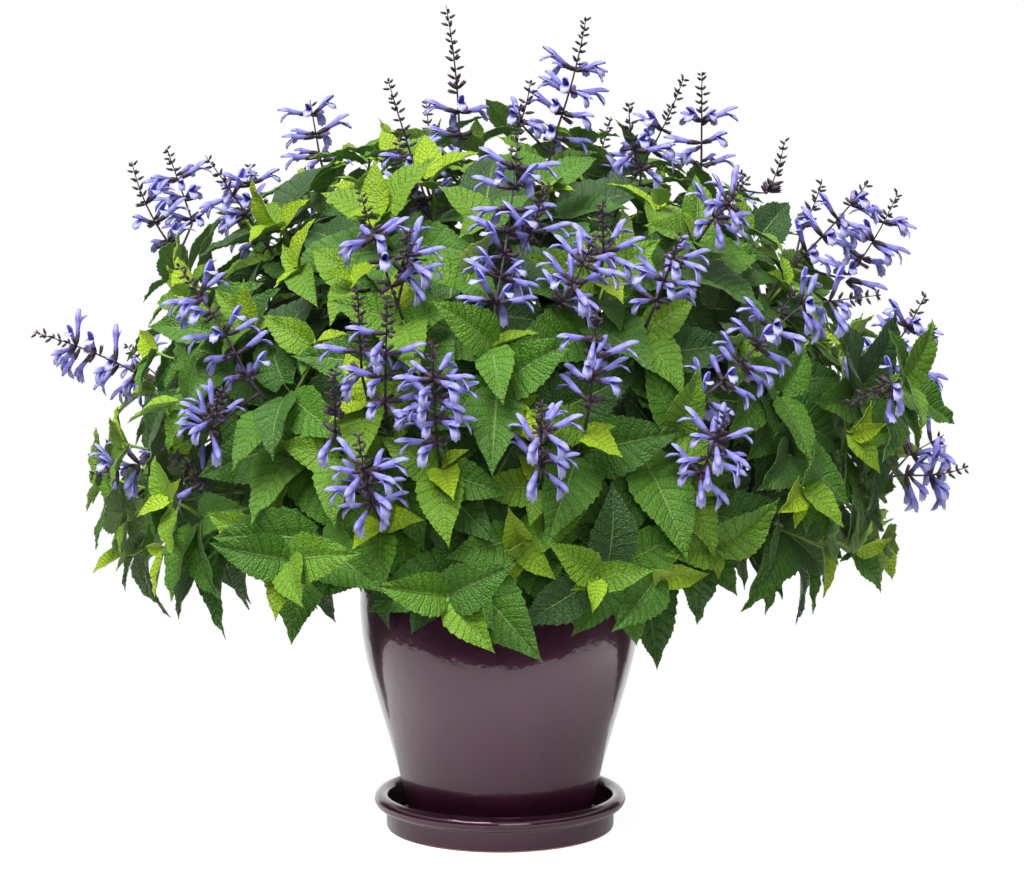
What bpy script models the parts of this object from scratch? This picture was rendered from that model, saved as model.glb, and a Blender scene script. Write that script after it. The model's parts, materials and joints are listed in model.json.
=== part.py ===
"""A perennial sage in full flower, in a glazed pot on its saucer.

Metres, +Z up. The origin is the middle of the saucer's flat underside, +X is right and -Y is the front.
The pot, the saucer and the soil are turned shapes. The plant is grown by a rule: racemes stand where the
front view shows them, stems and side shoots reach them from the soil, and leaves hang down every shoot.
"""

import math
import random

import bmesh
import bpy
from mathutils import Vector
from mathutils.bvhtree import BVHTree

MM = 0.001

# Turned pieces
TURN_STEPS = 24
SAUCER_RADIUS = 126.8 * MM
SAUCER_HEIGHT = 36.3 * MM
SAUCER_FLOOR = 6.0 * MM
SAUCER_BODY_RADIUS = 115.0 * MM
SAUCER_LIP_ROUND = 7.3 * MM
SEAT_GAP = 0.3 * MM
POT_WALL = 8.0 * MM
POT_RIM_RADIUS = 142.0 * MM
POT_RIM_ROUND = 8.5 * MM
POT_RIM_HEIGHT = 264.0 * MM
POT_FLOOR = 11.0 * MM
DRAIN_RADIUS = 12.5 * MM
POT_SIDE = [(91.5, 14), (106.8, 75), (125, 137), (136.8, 181), (141, 222), (140.5, 240)]
POT_FOOT_RADIUS = 88.0 * MM
POT_NECK = (136.8, 251)
SOIL_LEVEL = 240.0 * MM

# Where the front view is seen from, and the crown that the leaves fill
EYE_DISTANCE = 2.3
EYE_HEIGHT = 0.575
CROWN_MIDDLE = 0.37
CROWN_ABOVE = 0.40
CROWN_BELOW = 0.33
CROWN_HALF_WIDTH = 0.425
CROWN_HALF_DEPTH = 0.39
CROWN_SQUARENESS = 2.4
CROWN_SHOULDER = 1.2
LEAST_UPWARD = 0.12
RACEME_BASE_SHARE = 0.93
RACEME_TIP_SHARE = 1.08
SHIFTS = [0, 0.02, -0.02, 0.04, -0.04, 0.06, -0.06, 0.09]

# Stems: where each one heads, as degrees round the axis and above the level
STEM_HEADINGS = [(-172, 24), (-140, 26), (-108, 24), (-76, 27), (-44, 24), (-12, 26),
                 (32, 30), (90, 30), (146, 30), (-128, 60), (-55, 60), (88, 64)]
HEADING_HEIGHT = 0.26
OUTER_FEET = 9
OUTER_FOOT_RADIUS = 58 * MM
INNER_FOOT_RADIUS = 24 * MM
FOOT_DEPTH = 26 * MM
HOLE_GAP = 0.4 * MM
STEM_RADIUS = 3.6 * MM
SHOOT_RADIUS = 2.2 * MM
STEM_STEPS = 4
SHOOT_STEPS = 2
PEDUNCLE = 30 * MM
PEDUNCLE_RISE = 0.55
STALK_RADIUS = 1.7 * MM
STALK_TAPER = 0.3
JOINT_GAP = 0.4 * MM
BRANCHING_SHARE = 0.52
FILL_PLACES = 90
FILL_LOWEST = 0.05
FILL_SHARE = 0.86
FILL_SPREAD = 0.11
GOLDEN_ANGLE = math.pi * (3 - math.sqrt(5))
LOW_SHOOT_TURN = 11
LOW_SHOOT_REACH = 0.37
LOW_SHOOT_HEIGHT = 0.300
LOW_SHOOT_LIFT = 60 * MM
LOW_SHOOT_OUT = 40 * MM
LOW_SHOOT_HANG = 45 * MM
STRAIGHT_START = 0.35
STRAIGHT_END = 0.3
LONE_STEM = 0.3
BRANCH_LOWEST = 0.16
BRANCH_HIGHEST = 0.72
BRANCH_FALL = 0.55
BOW_SIZES = (0.05, 0.1, 0.16, 0.22)

# Leaves
LEAF_STEP = 57 * MM
LEAF_SIZES = [66, 92, 108, 112, 106, 100]
LEAF_WIDTH_SHARE = 0.61
BARE_INSIDE = 0.66
BLADE_HALF_THICKNESS = 0.9 * MM
EDGE_PLACES = [0.0, 0.16, 0.4, 0.48]
EDGE_NOTCHES = (2,)
NOTCH = 0.84
RIB_PLACES = [0.0, 0.45]
PETIOLE_HALF_WIDTH = 1.5 * MM
LEAF_NODE_HALF = 2.5 * MM
SHORTEST_PETIOLE = 8 * MM
LONGEST_PETIOLE = 24 * MM
PETIOLE_GROWTH = 7 * MM
LEAF_LEAN = 0.25
LEAFY_SHARE = 0.9
ASIDE_YAW = (50, 80)
RAISED_YAW = (95, 140)
YAW_SWING = 18
LEAF_LIFT = (2, 22)
YOUNG_LIFT = 12
LEAF_DROOP = (22, 52)
LEAF_FOLD = (8, 20)
SOLID_RANKS = (0, 1, 2)
BLADE_MIDDLE = 0.45
LEAF_SPREAD = 54 * MM
CLEARANCE = 0.8 * MM
STALK_CLEARANCE = 0.3 * MM
YAW_TRIES = [0, 16, -16, 32, -32, 50, -50]
LIFT_TRIES = [0, 9, -9, 19]

# Flowers
FLOWER_ROOM = 5 * MM
STALK_SIDES = 3
WHORL_STEP = 23 * MM
WHORL_STEP_AT_TIP = 16 * MM
WHORL_HALF = 2.4 * MM
WHORL_TWIST = 1 / 6
WHORLS_TO_AT_LEAST = 0.4
BUD_SPIKE_RADIUS = 3.2 * MM
BUD_SPIKE_ROWS = ((0.3, 1.0), (1.0, 0.2))
OPEN_CHANCE = 0.8
FLOWER_CLIMB = (0.25, 0.55)
BUD_CLIMB = (0.7, 0.9)
FLOWER_HANG = 0.22
STALK_SAG = (-0.06, 0.12)
UNTESTED_FLOWER_ROOT = 9 * MM
UNTESTED_BUD_ROOT = 4 * MM
FLORET_THROAT = 23 * MM
FLORET_THROAT_HALF = 3.6 * MM
FLORET_HOOD = 39 * MM
FLORET_HOOD_RISE = 2.5 * MM
FLORET_LIP = 34 * MM
FLORET_LIP_DROP = 11 * MM
CALYX_LENGTH = 15 * MM
BUD_LENGTH_AT_TIP = 7 * MM

# Racemes as the front view shows them, in millimetres from the foot of the pot's axis: the lowest flower,
# the tip, the depth where it isn't on the crown's front, the share in open flower, and the parent.
RACEMES = [
    ("a", -360, 457, -465, 499, -30, 0.75, ""),
    ("b", -335, 376, -412, 356, -120, 0.7, ""),
    ("b2", -295, 348, -337, 386, -190, 0.4, "b"),
    ("c1", -328, 586, -365, 668, 30, 0.6, ""),
    ("c2", -250, 451, -322, 568, None, 0.75, ""),
    ("d", -305, 608, -330, 681, 70, 0.7, "c1"),
    ("e", -238, 594, -292, 674, -70, 0.7, ""),
    ("g", -242, 621, -248, 666, -20, 0.7, "e"),
    ("f", -178, 670, -188, 729, 20, 0.8, ""),
    ("h", -72, 626, -110, 746, -110, 0.5, ""),
    ("i", -92, 636, -100, 686, -190, 0.5, "h"),
    ("j", -40, 690, -53, 821, -80, 0.3, ""),
    ("m", 53, 690, 85, 808, -90, 0.6, ""),
    ("k", 20, 706, 30, 746, -110, 0.4, "m"),
    ("l", -5, 526, 20, 721, None, 0.8, ""),
    ("n", 30, 596, 45, 646, None, 0.4, "l"),
    ("o1", 103, 576, 102, 631, None, 0.4, ""),
    ("o2", 60, 526, 92, 591, None, 0.7, "o1"),
    ("nn", 140, 656, 128, 726, -60, 0.5, ""),
    ("p", 125, 640, 182, 751, -60, 0.7, ""),
    ("q", 200, 661, 200, 756, 20, 0.5, ""),
    ("r", 265, 636, 282, 686, 60, 0.0, "q"),
    ("s", 212, 611, 245, 651, None, 0.7, ""),
    ("u", 303, 576, 366, 648, -60, 0.75, ""),
    ("t", 300, 601, 320, 651, -10, 0.0, "u"),
    ("v", 345, 551, 395, 636, -20, 0.75, "u"),
    ("w", 378, 466, 425, 538, -60, 0.6, ""),
    ("x", 393, 441, 435, 506, -110, 0.6, ""),
    ("y", 405, 356, 470, 364, -70, 0.7, ""),
    ("y2", 410, 376, 445, 396, 10, 0.7, "y"),
    ("z", 395, 448, 350, 426, -230, 0.3, ""),
    ("aa", 200, 431, 295, 544, None, 0.75, ""),
    ("aa2", 300, 526, 380, 536, -250, 0.6, "aa"),
    ("bb", 155, 526, 180, 594, None, 0.7, ""),
    ("cc", 90, 426, 97, 521, None, 0.8, ""),
    ("dd", 40, 366, 42, 429, None, 0.7, ""),
    ("ee", 200, 356, 227, 421, None, 0.7, ""),
    ("ff", -138, 456, -142, 546, None, 0.5, ""),
    ("gg", -63, 386, -68, 491, None, 0.7, ""),
    ("hh", -115, 426, -112, 536, None, 0.8, ""),
    ("ii", -107, 541, -138, 636, None, 0.7, ""),
    ("jj", -95, 556, -92, 600, None, 0.6, "ii"),
    ("kk", -165, 396, -165, 461, None, 0.1, ""),
    ("ll", -128, 326, -142, 396, None, 0.6, ""),
    ("mm", -290, 401, -275, 441, None, 0.4, "c2"),
]

# Racemes at the back, which the front view hides: the lowest flower and the tip in millimetres, the share
# in open flower and the parent.
BACK_RACEMES = [
    ("b_a", (-250, 240, 470), (-300, 295, 560), 0.7, ""),
    ("b_b", (-120, 310, 490), (-140, 360, 590), 0.7, ""),
    ("b_c", (20, 335, 500), (25, 370, 620), 0.7, ""),
    ("b_d", (150, 300, 470), (185, 350, 560), 0.6, ""),
    ("b_e", (270, 220, 490), (320, 270, 580), 0.7, ""),
    ("b_f", (-325, 130, 420), (-400, 165, 480), 0.7, ""),
    ("b_g", (350, 130, 420), (420, 165, 470), 0.7, ""),
    ("b_h", (-70, 200, 650), (-80, 225, 745), 0.5, ""),
    ("b_i", (100, 190, 640), (120, 215, 725), 0.6, ""),
    ("b_j", (-190, 190, 590), (-215, 230, 670), 0.6, ""),
    ("b_k", (230, 150, 590), (260, 190, 665), 0.6, ""),
    ("b_l", (50, 350, 370), (60, 420, 400), 0.6, ""),
    ("b_m", (-190, 310, 370), (-230, 375, 410), 0.6, ""),
    ("b_n", (230, 300, 370), (275, 360, 400), 0.6, ""),
]


def clear_scene():
    for item in list(bpy.data.objects):
        bpy.data.objects.remove(item, do_unlink=True)
    for item in list(bpy.data.meshes):
        bpy.data.meshes.remove(item)


def collection(name):
    made = bpy.data.collections.new(name)
    bpy.context.scene.collection.children.link(made)
    return made


def material(name, colour, roughness):
    made = bpy.data.materials.new(name)
    made.use_nodes = True
    shader = made.node_tree.nodes["Principled BSDF"]
    shader.inputs["Base Color"].default_value = (*colour, 1)
    shader.inputs["Roughness"].default_value = roughness
    made.diffuse_color = (*colour, 1)
    return made


# Curves and directions
def sight(across, up, depth):
    """The point at this depth that the front view shows at across and up in the plane of the axis."""
    nearer = 1 + depth / EYE_DISTANCE
    return Vector((across * nearer, depth, EYE_HEIGHT + (up - EYE_HEIGHT) * nearer))


def crown_depth(across, up, share):
    """The depth of the crown's front at this place of the front view, for a crown grown by this share."""
    tall = CROWN_ABOVE if up > CROWN_MIDDLE else CROWN_BELOW
    level = 1 - abs((up - CROWN_MIDDLE) / (tall * share)) ** CROWN_SQUARENESS
    level = max(level, 0.0) ** (1 / CROWN_SHOULDER)
    inside = level - (across / (CROWN_HALF_WIDTH * share)) ** 2
    return -CROWN_HALF_DEPTH * share * math.sqrt(max(inside, 0.0))


def outward_normal(point):
    """Which way the crown's surface faces at this point, never more than a little downwards."""
    tall = CROWN_ABOVE if point.z > CROWN_MIDDLE else CROWN_BELOW
    facing = Vector((point.x / CROWN_HALF_WIDTH ** 2, point.y / CROWN_HALF_DEPTH ** 2,
                     (point.z - CROWN_MIDDLE) / tall ** 2)).normalized()
    facing.z = max(facing.z, LEAST_UPWARD)
    return facing.normalized()


def bezier(ends, share):
    a, b, c, d = ends
    back = 1 - share
    return a * back ** 3 + b * 3 * back ** 2 * share + c * 3 * back * share ** 2 + d * share ** 3


def bezier_heading(ends, share):
    a, b, c, d = ends
    back = 1 - share
    return ((b - a) * back ** 2 + (c - b) * 2 * back * share + (d - c) * share ** 2).normalized()


def bezier_length(ends, steps=12):
    places = [bezier(ends, k / steps) for k in range(steps + 1)]
    return sum((q - p).length for p, q in zip(places, places[1:]))


def across_of(heading, hint):
    """A unit vector square to heading, as near to hint as can be."""
    side = hint - heading * hint.dot(heading)
    if side.length < 1e-4:
        side = heading.orthogonal()
    return side.normalized()


# Points and faces of the small pieces. The test for room and the mesh both use them.
def tube_shape(places, radii, sides=3, twists=None, arrive=None):
    """A tapered loft along a bent line. Twists turn the rings, and arrive is the last one's heading."""
    points = []
    side = across_of((places[1] - places[0]).normalized(), Vector((0.3, 0.2, 1)))
    for k, place in enumerate(places):
        ahead = places[min(k + 1, len(places) - 1)] - places[max(k - 1, 0)]
        if arrive and k == len(places) - 1:
            ahead = arrive
        ahead = ahead.normalized()
        side = across_of(ahead, side)
        other = ahead.cross(side)
        for turn in range(sides):
            angle = math.tau * (turn / sides + (twists[k] if twists else 0.0))
            points.append(place + (side * math.cos(angle) + other * math.sin(angle)) * radii[k])
    faces = [tuple(reversed(range(sides)))]
    for k in range(len(places) - 1):
        for turn in range(sides):
            a = k * sides + turn
            b = k * sides + (turn + 1) % sides
            faces.append((a, b, b + sides, a + sides))
    faces.append(tuple(range((len(places) - 1) * sides, len(places) * sides)))
    return points, faces


def blade_width(share):
    """The half width of an ovate leaf with a long tip, as a share of its widest."""
    return 2.564 * share ** 0.42 * (1 - share) ** 1.25


class Leaf:
    """A leaf: root on the shoot, petiole to the blade's base, and an arched, folded blade."""

    def __init__(self, root, axis, normal, length, petiole, droop, fold):
        self.root = root
        self.axis = axis
        self.normal = across_of(axis, normal)
        self.side = axis.cross(self.normal)
        self.length = length
        self.half_width = length * LEAF_WIDTH_SHARE / 2
        self.droop = droop
        self.fold = fold
        self.base = root + (axis * 0.8 + self.normal * 0.45).normalized() * petiole

    def on_blade(self, along, across, above):
        """The point at this share of the length, this far from the rib and this high above the blade."""
        bend = self.droop * along
        reach = self.length * math.sin(bend) / self.droop
        sink = self.length * (1 - math.cos(bend)) / self.droop
        middle = self.base + self.axis * reach - self.normal * sink
        up = self.normal * math.cos(bend) + self.axis * math.sin(bend)
        lift = abs(across) * math.sin(self.fold) + above
        return middle + self.side * (across * math.cos(self.fold)) + up * lift

    def rows(self):
        """The right and left edge, the tip, and the rib's upper and lower side, from the petiole on."""
        edges = []
        for way in (1, -1):
            edge = []
            for k, along in enumerate(EDGE_PLACES):
                wide = self.half_width * blade_width(along) * (NOTCH if k in EDGE_NOTCHES else 1.0)
                wide = max(wide, PETIOLE_HALF_WIDTH)
                edge.append(self.on_blade(along, way * wide, 0))
            edges.append(edge)
        ribs = []
        for way in (1, -1):
            ribs.append([self.on_blade(along, 0, way * BLADE_HALF_THICKNESS * (1.3 - along * 0.5))
                         for along in RIB_PLACES])
        return edges[0], edges[1], self.on_blade(1.0, 0, 0), ribs[0], ribs[1]

    def shape(self, start):
        """The blade with its petiole from this share of it on, for the test of room."""
        right, left, tip, above, below = self.rows()
        points = [self.root.lerp(self.base, start)] + right + left + [tip] + above + below
        rows = len(right)
        rim = {1: [1 + k for k in range(rows)], -1: [1 + rows + k for k in range(rows)]}
        last = 1 + 2 * rows
        middle = {1: [last + 1 + k for k in range(len(above))],
                  -1: [last + 1 + len(above) + k for k in range(len(above))]}
        faces = []
        for way in (1, -1):
            for face in (1, -1):
                faces += blade_strip(rim[way] + [last], middle[face], way * face)
                root = (0, rim[way][0], middle[face][0])
                faces.append(root if way * face > 0 else root[::-1])
        return points, faces


def blade_strip(rim, middle, way):
    """Triangles between the toothed edge and the rib, stepping along whichever row is behind."""
    rim_places = EDGE_PLACES + [1.0]
    faces = []
    i = 0
    j = 0
    while i < len(rim) - 1 or j < len(middle) - 1:
        rib_done = j == len(middle) - 1
        if rib_done or (i < len(rim) - 1 and rim_places[i + 1] <= RIB_PLACES[j + 1] + 0.06):
            corner = (rim[i], rim[i + 1], middle[j])
            i += 1
        else:
            corner = (rim[i], middle[j + 1], middle[j])
            j += 1
        faces.append(corner if way > 0 else corner[::-1])
    return faces


def root_corners(root, heading, up, start):
    """The four corners that a flower is pulled from, moved this far out from the stalk."""
    side = heading.cross(up)
    tall = WHORL_HALF * (1 - start / CALYX_LENGTH)
    wide = STALK_RADIUS * 0.7
    middle = root + heading * start
    return [middle + up * tall, middle + side * wide, middle - up * tall, middle - side * wide]


def floret_shape(root, heading, up, size, start=0.0):
    """A two-lipped flower: calyx and tube open to a throat, the hood runs on and the lip hangs."""
    side = heading.cross(up)
    throat = root + heading * (FLORET_THROAT * size)
    half = FLORET_THROAT_HALF * size
    points = root_corners(root, heading, up, start) + [
        throat + up * half,
        throat + side * half,
        throat - up * half,
        throat - side * half,
        root + heading * (FLORET_HOOD * size) + up * (FLORET_HOOD_RISE * size),
        root + heading * (FLORET_LIP * size) - up * (FLORET_LIP_DROP * size),
    ]
    tube = [(3, 2, 1, 0), (0, 1, 5, 4), (1, 2, 6, 5), (2, 3, 7, 6), (3, 0, 4, 7)]
    lips = [(4, 5, 8), (7, 4, 8), (5, 7, 8), (5, 9, 7), (5, 6, 9), (6, 7, 9)]
    return points, tube + lips


def bud_shape(root, heading, up, length, start=0.0):
    """A closed bud in its calyx, as a spike."""
    points = root_corners(root, heading, up, start) + [root + heading * length]
    return points, [(3, 2, 1, 0), (0, 1, 4), (1, 2, 4), (2, 3, 4), (3, 0, 4)]


class Room:
    """Keeps what is grown and says whether a new piece is clear of every other node."""

    def __init__(self):
        self.kept = []

    def tree_of(self, shape, swell):
        points, faces = shape
        pushes = [Vector() for _ in points]
        for face in faces:
            a, b, c = (points[i] for i in face[:3])
            square = (b - a).cross(c - a)
            for i in face:
                pushes[i] += square
        swollen = [p + push.normalized() * swell for p, push in zip(points, pushes)]
        low = Vector([min(p[i] for p in swollen) for i in range(3)])
        high = Vector([max(p[i] for p in swollen) for i in range(3)])
        return BVHTree.FromPolygons(swollen, faces), low, high

    def clear(self, node, kind, own, whole):
        """Tests own, which leaves out the root, inside the node and whole against every other node.

        Stalks of one node may meet, because they branch from each other. Nothing else may touch.
        """
        for other, other_kind, other_tree, other_low, other_high in self.kept:
            if other == node and kind == "stalk" and other_kind == "stalk":
                continue
            tree, low, high = own if other == node else whole
            if any(low[i] > other_high[i] or high[i] < other_low[i] for i in range(3)):
                continue
            if tree.overlap(other_tree):
                return False
        return True

    def add(self, node, kind, shape):
        self.kept.append((node, kind, *self.tree_of(shape, 0.0)))

    def take(self, node, kind, rootless, shape):
        """Keeps the shape and says so if it's clear."""
        if not self.clear(node, kind, self.tree_of(rootless, CLEARANCE), self.tree_of(shape, CLEARANCE)):
            return False
        self.add(node, kind, shape)
        return True


# The growing rule
def raceme_rows():
    """Each raceme's name, its ends at a shift in depth, the share in open flower and its parent."""
    for name, x0, z0, x1, z1, depth, bloom, parent in RACEMES:
        if depth is None:
            near = crown_depth(x0 * MM, z0 * MM, RACEME_BASE_SHARE)
            far = crown_depth(x1 * MM, z1 * MM, RACEME_TIP_SHARE)
        else:
            near = depth * MM
            far = near * RACEME_TIP_SHARE
        ends = []
        for shift in SHIFTS:
            ends.append((sight(x0 * MM, z0 * MM, near + shift), sight(x1 * MM, z1 * MM, far + shift)))
        yield name, ends, bloom, parent
    for name, base, tip, bloom, parent in BACK_RACEMES:
        aside = Vector((0, 1, 0))
        ends = [(Vector(base) * MM + aside * shift, Vector(tip) * MM + aside * shift) for shift in SHIFTS]
        yield name, ends, bloom, parent


def stalk_point(spray, share):
    """A point of the flowering part of the stalk, from 0 at the lowest flower to 1 at the tip."""
    back = 1 - share
    return spray["base"] * back ** 2 + spray["bend"] * 2 * back * share + spray["tip"] * share ** 2


def stalk_heading(spray, share):
    heading = (spray["bend"] - spray["base"]) * (1 - share) + (spray["tip"] - spray["bend"]) * share
    return heading.normalized()


def whorl_shares(spray):
    """The shares of the stalk at which whorls sit, closer together upwards, as far as flowers are open."""
    length = (spray["tip"] - spray["base"]).length
    last = max(spray["bloom"], WHORLS_TO_AT_LEAST)
    shares = []
    share = WHORL_HALF / length * 1.2
    while share < last:
        shares.append(share)
        share += (WHORL_STEP + (WHORL_STEP_AT_TIP - WHORL_STEP) * share) / length
    return shares


def stalk_rings(spray):
    """The stalk's rings, with a pair at each whorl, and the slim spike of closed buds above them."""
    half = WHORL_HALF / (spray["tip"] - spray["base"]).length
    places = [spray["foot"]]
    radii = [STALK_RADIUS]
    twists = [0.0]
    shares = whorl_shares(spray)
    for count, share in enumerate(shares):
        for way in (-1, 1):
            places.append(stalk_point(spray, share + way * half))
            radii.append(STALK_RADIUS * (1 - STALK_TAPER * share))
            twists.append(count * WHORL_TWIST)
    spike = 1 - shares[-1] - half
    for along, full in BUD_SPIKE_ROWS:
        places.append(stalk_point(spray, shares[-1] + half + spike * along))
        radii.append(BUD_SPIKE_RADIUS * full)
        twists.append(twists[-1])
    return places, radii, twists


def raceme_from_ends(name, ends, bloom, parent, home):
    """A bent stalk through the raceme's ends, on its own foot or branching from its parent's stalk."""
    base, tip = ends
    draw = random.Random("raceme " + name)
    rise = (tip - base).normalized()
    if parent:
        foot = home["foot"].lerp(home["base"], BRANCHING_SHARE)
    else:
        inward = (base - Vector((0, 0, HEADING_HEIGHT))).normalized()
        foot = base - (rise * PEDUNCLE_RISE + inward * (1 - PEDUNCLE_RISE)).normalized() * PEDUNCLE
    sag = across_of(rise, Vector((0, 0, -1))) * ((tip - base).length * draw.uniform(*STALK_SAG))
    spray = {"name": name, "foot": foot, "base": base, "tip": tip, "bend": (base + tip) / 2 + sag,
             "bloom": bloom, "parent": parent, "florets": [], "buds": []}
    spray["rings"], spray["radii"], spray["twists"] = stalk_rings(spray)
    return spray


def grow_racemes(room):
    """The stalks and their whorls of flowers and buds, each raceme or branched group as one node."""
    sprays = {}
    nodes = 0
    for name, tries, bloom, parent in raceme_rows():
        if parent:
            node = sprays[parent]["node"]
        else:
            nodes += 1
            node = "flower_spray_%02d" % nodes
        for ends in tries:
            spray = raceme_from_ends(name, ends, bloom, parent, sprays.get(parent))
            stalk = tube_shape(spray["rings"], spray["radii"], STALK_SIDES, spray["twists"])
            found = room.tree_of(stalk, FLOWER_ROOM)
            if room.clear(node, "stalk", found, found):
                break
        else:
            print("raceme", name, "crosses another")
        spray["node"] = node
        sprays[name] = spray
        room.add(node, "stalk", stalk)
    for spray in sprays.values():
        grow_whorls(spray, room)
    return sprays


def whorl_members(spray):
    """A flower or bud on each side of the stalk at every whorl."""
    draw = random.Random("whorl " + spray["name"])
    points, _ = tube_shape(spray["rings"], spray["radii"], STALK_SIDES, spray["twists"])
    members = []
    for count, share in enumerate(whorl_shares(spray)):
        rise = stalk_heading(spray, share)
        root = stalk_point(spray, share)
        ring = points[(1 + 2 * count) * STALK_SIDES:(3 + 2 * count) * STALK_SIDES]
        for way in range(STALK_SIDES):
            after = (way + 1) % STALK_SIDES
            corners = [ring[way], ring[after], ring[way + STALK_SIDES], ring[after + STALK_SIDES]]
            out = across_of(rise, sum(corners, Vector()) / 4 - root)
            flowering = share < spray["bloom"]
            is_open = flowering and draw.random() < OPEN_CHANCE
            climb = draw.uniform(*(FLOWER_CLIMB if flowering else BUD_CLIMB))
            heading = out + rise * climb - Vector((0, 0, FLOWER_HANG if flowering else 0.0))
            heading.normalize()
            members.append({
                "count": count, "way": way, "out": out, "open": is_open, "root": root, "heading": heading,
                "up": across_of(heading, Vector((0, 0, 1))), "size": draw.uniform(0.92, 1.08),
                "length": CALYX_LENGTH + (BUD_LENGTH_AT_TIP - CALYX_LENGTH) * share,
            })
    return members


def grow_whorls(spray, room):
    """One open flower a whorl is in the solids, and the others stand as their calyx."""
    for member in whorl_members(spray):
        place = (member["root"], member["heading"], member["up"])
        if member["open"] and (member["count"] + member["way"]) % STALK_SIDES == 0:
            rootless = floret_shape(*place, member["size"], UNTESTED_FLOWER_ROOT)
            if room.take(spray["node"], "flower", rootless, floret_shape(*place, member["size"])):
                spray["florets"].append(member)
                continue
        rootless = bud_shape(*place, member["length"], UNTESTED_BUD_ROOT)
        if room.take(spray["node"], "flower", rootless, bud_shape(*place, member["length"])):
            spray["buds"].append(member)


def stem_names():
    return ["leafy_stem_%02d" % (k + 1) for k in range(len(STEM_HEADINGS))]


def heading_vector(azimuth, elevation):
    turn = math.radians(azimuth)
    rise = math.radians(elevation)
    return Vector((math.cos(turn) * math.cos(rise), math.sin(turn) * math.cos(rise), math.sin(rise)))


def stem_feet():
    feet = []
    for k, (azimuth, _) in enumerate(STEM_HEADINGS):
        radius = OUTER_FOOT_RADIUS if k < OUTER_FEET else INNER_FOOT_RADIUS
        turn = math.radians(azimuth)
        feet.append(Vector((math.cos(turn) * radius, math.sin(turn) * radius, SOIL_LEVEL)))
    return feet


def main_route(foot, end, arrive, bow):
    span = (end - foot).length
    rise = foot + Vector((0, 0, span * STRAIGHT_START)) + bow
    return (foot, rise, end - arrive * span * STRAIGHT_END + bow, end)


def side_route(main, at, end, arrive, bow):
    start = bezier(main, at)
    span = (end - start).length
    leave = start + bezier_heading(main, at) * span * STRAIGHT_END + bow
    return (start, leave, end - arrive * span * STRAIGHT_END + bow, end)


def low_route(main, at, end, out, bow):
    start = bezier(main, at)
    span = (end - start).length
    rise = start + Vector((0, 0, LOW_SHOOT_LIFT)) + out * LOW_SHOOT_OUT + bow
    return (start, rise, end - out * span * 0.4 + Vector((0, 0, LOW_SHOOT_HANG)), end)


def bows(reach):
    """Ways to swing a stalk aside, the smallest first."""
    yield Vector()
    for size in BOW_SIZES:
        for turn in range(8):
            angle = math.tau * turn / 8
            yield Vector((math.cos(angle), math.sin(angle), 0.4 * math.sin(angle * 2))) * (size * reach)


def ring_shares(shoot):
    """The shares of a shoot at which its rings sit: even steps, with a pair of rings at each leaf node."""
    half = LEAF_NODE_HALF / bezier_length(shoot["route"])
    nodes = sorted({plan["share"] for plan in shoot["plans"]})
    shares = []
    for step in range(shoot["steps"] + 1):
        share = step / shoot["steps"]
        if step in (0, shoot["steps"]) or all(abs(share - node) > 5 * half for node in nodes):
            shares.append(share)
    return sorted(shares + [node + way * half for node in nodes for way in (-1, 1)]), half


def shoot_rings(shoot):
    places = [bezier(shoot["route"], share) for share in shoot["shares"]]
    return places, [shoot["radius"] + (STALK_RADIUS - shoot["radius"]) * share for share in shoot["shares"]]


def grow_shoot(room, node, name, kind, radius, steps, routes, arrive):
    """The first of the routes that is clear of every other node, or the first one where none is."""
    best = None
    for route in routes:
        shoot = {"node": node, "name": name, "kind": kind, "route": route, "radius": radius, "steps": steps,
                 "arrive": arrive, "leaves": []}
        shoot["plans"] = [plan for plan in leaves_of(shoot) if plan["rank"] in SOLID_RANKS]
        shoot["shares"], shoot["half"] = ring_shares(shoot)
        places, radii = shoot_rings(shoot)
        shape = tube_shape(places, radii, arrive=arrive)
        found = room.tree_of(shape, STALK_CLEARANCE)
        if room.clear(node, "stalk", found, found):
            room.add(node, "stalk", shape)
            shoot["clear"] = True
            return shoot
        best = best or (shoot, shape)
    shoot, shape = best
    shoot["clear"] = False
    room.add(node, "stalk", shape)
    return shoot


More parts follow.
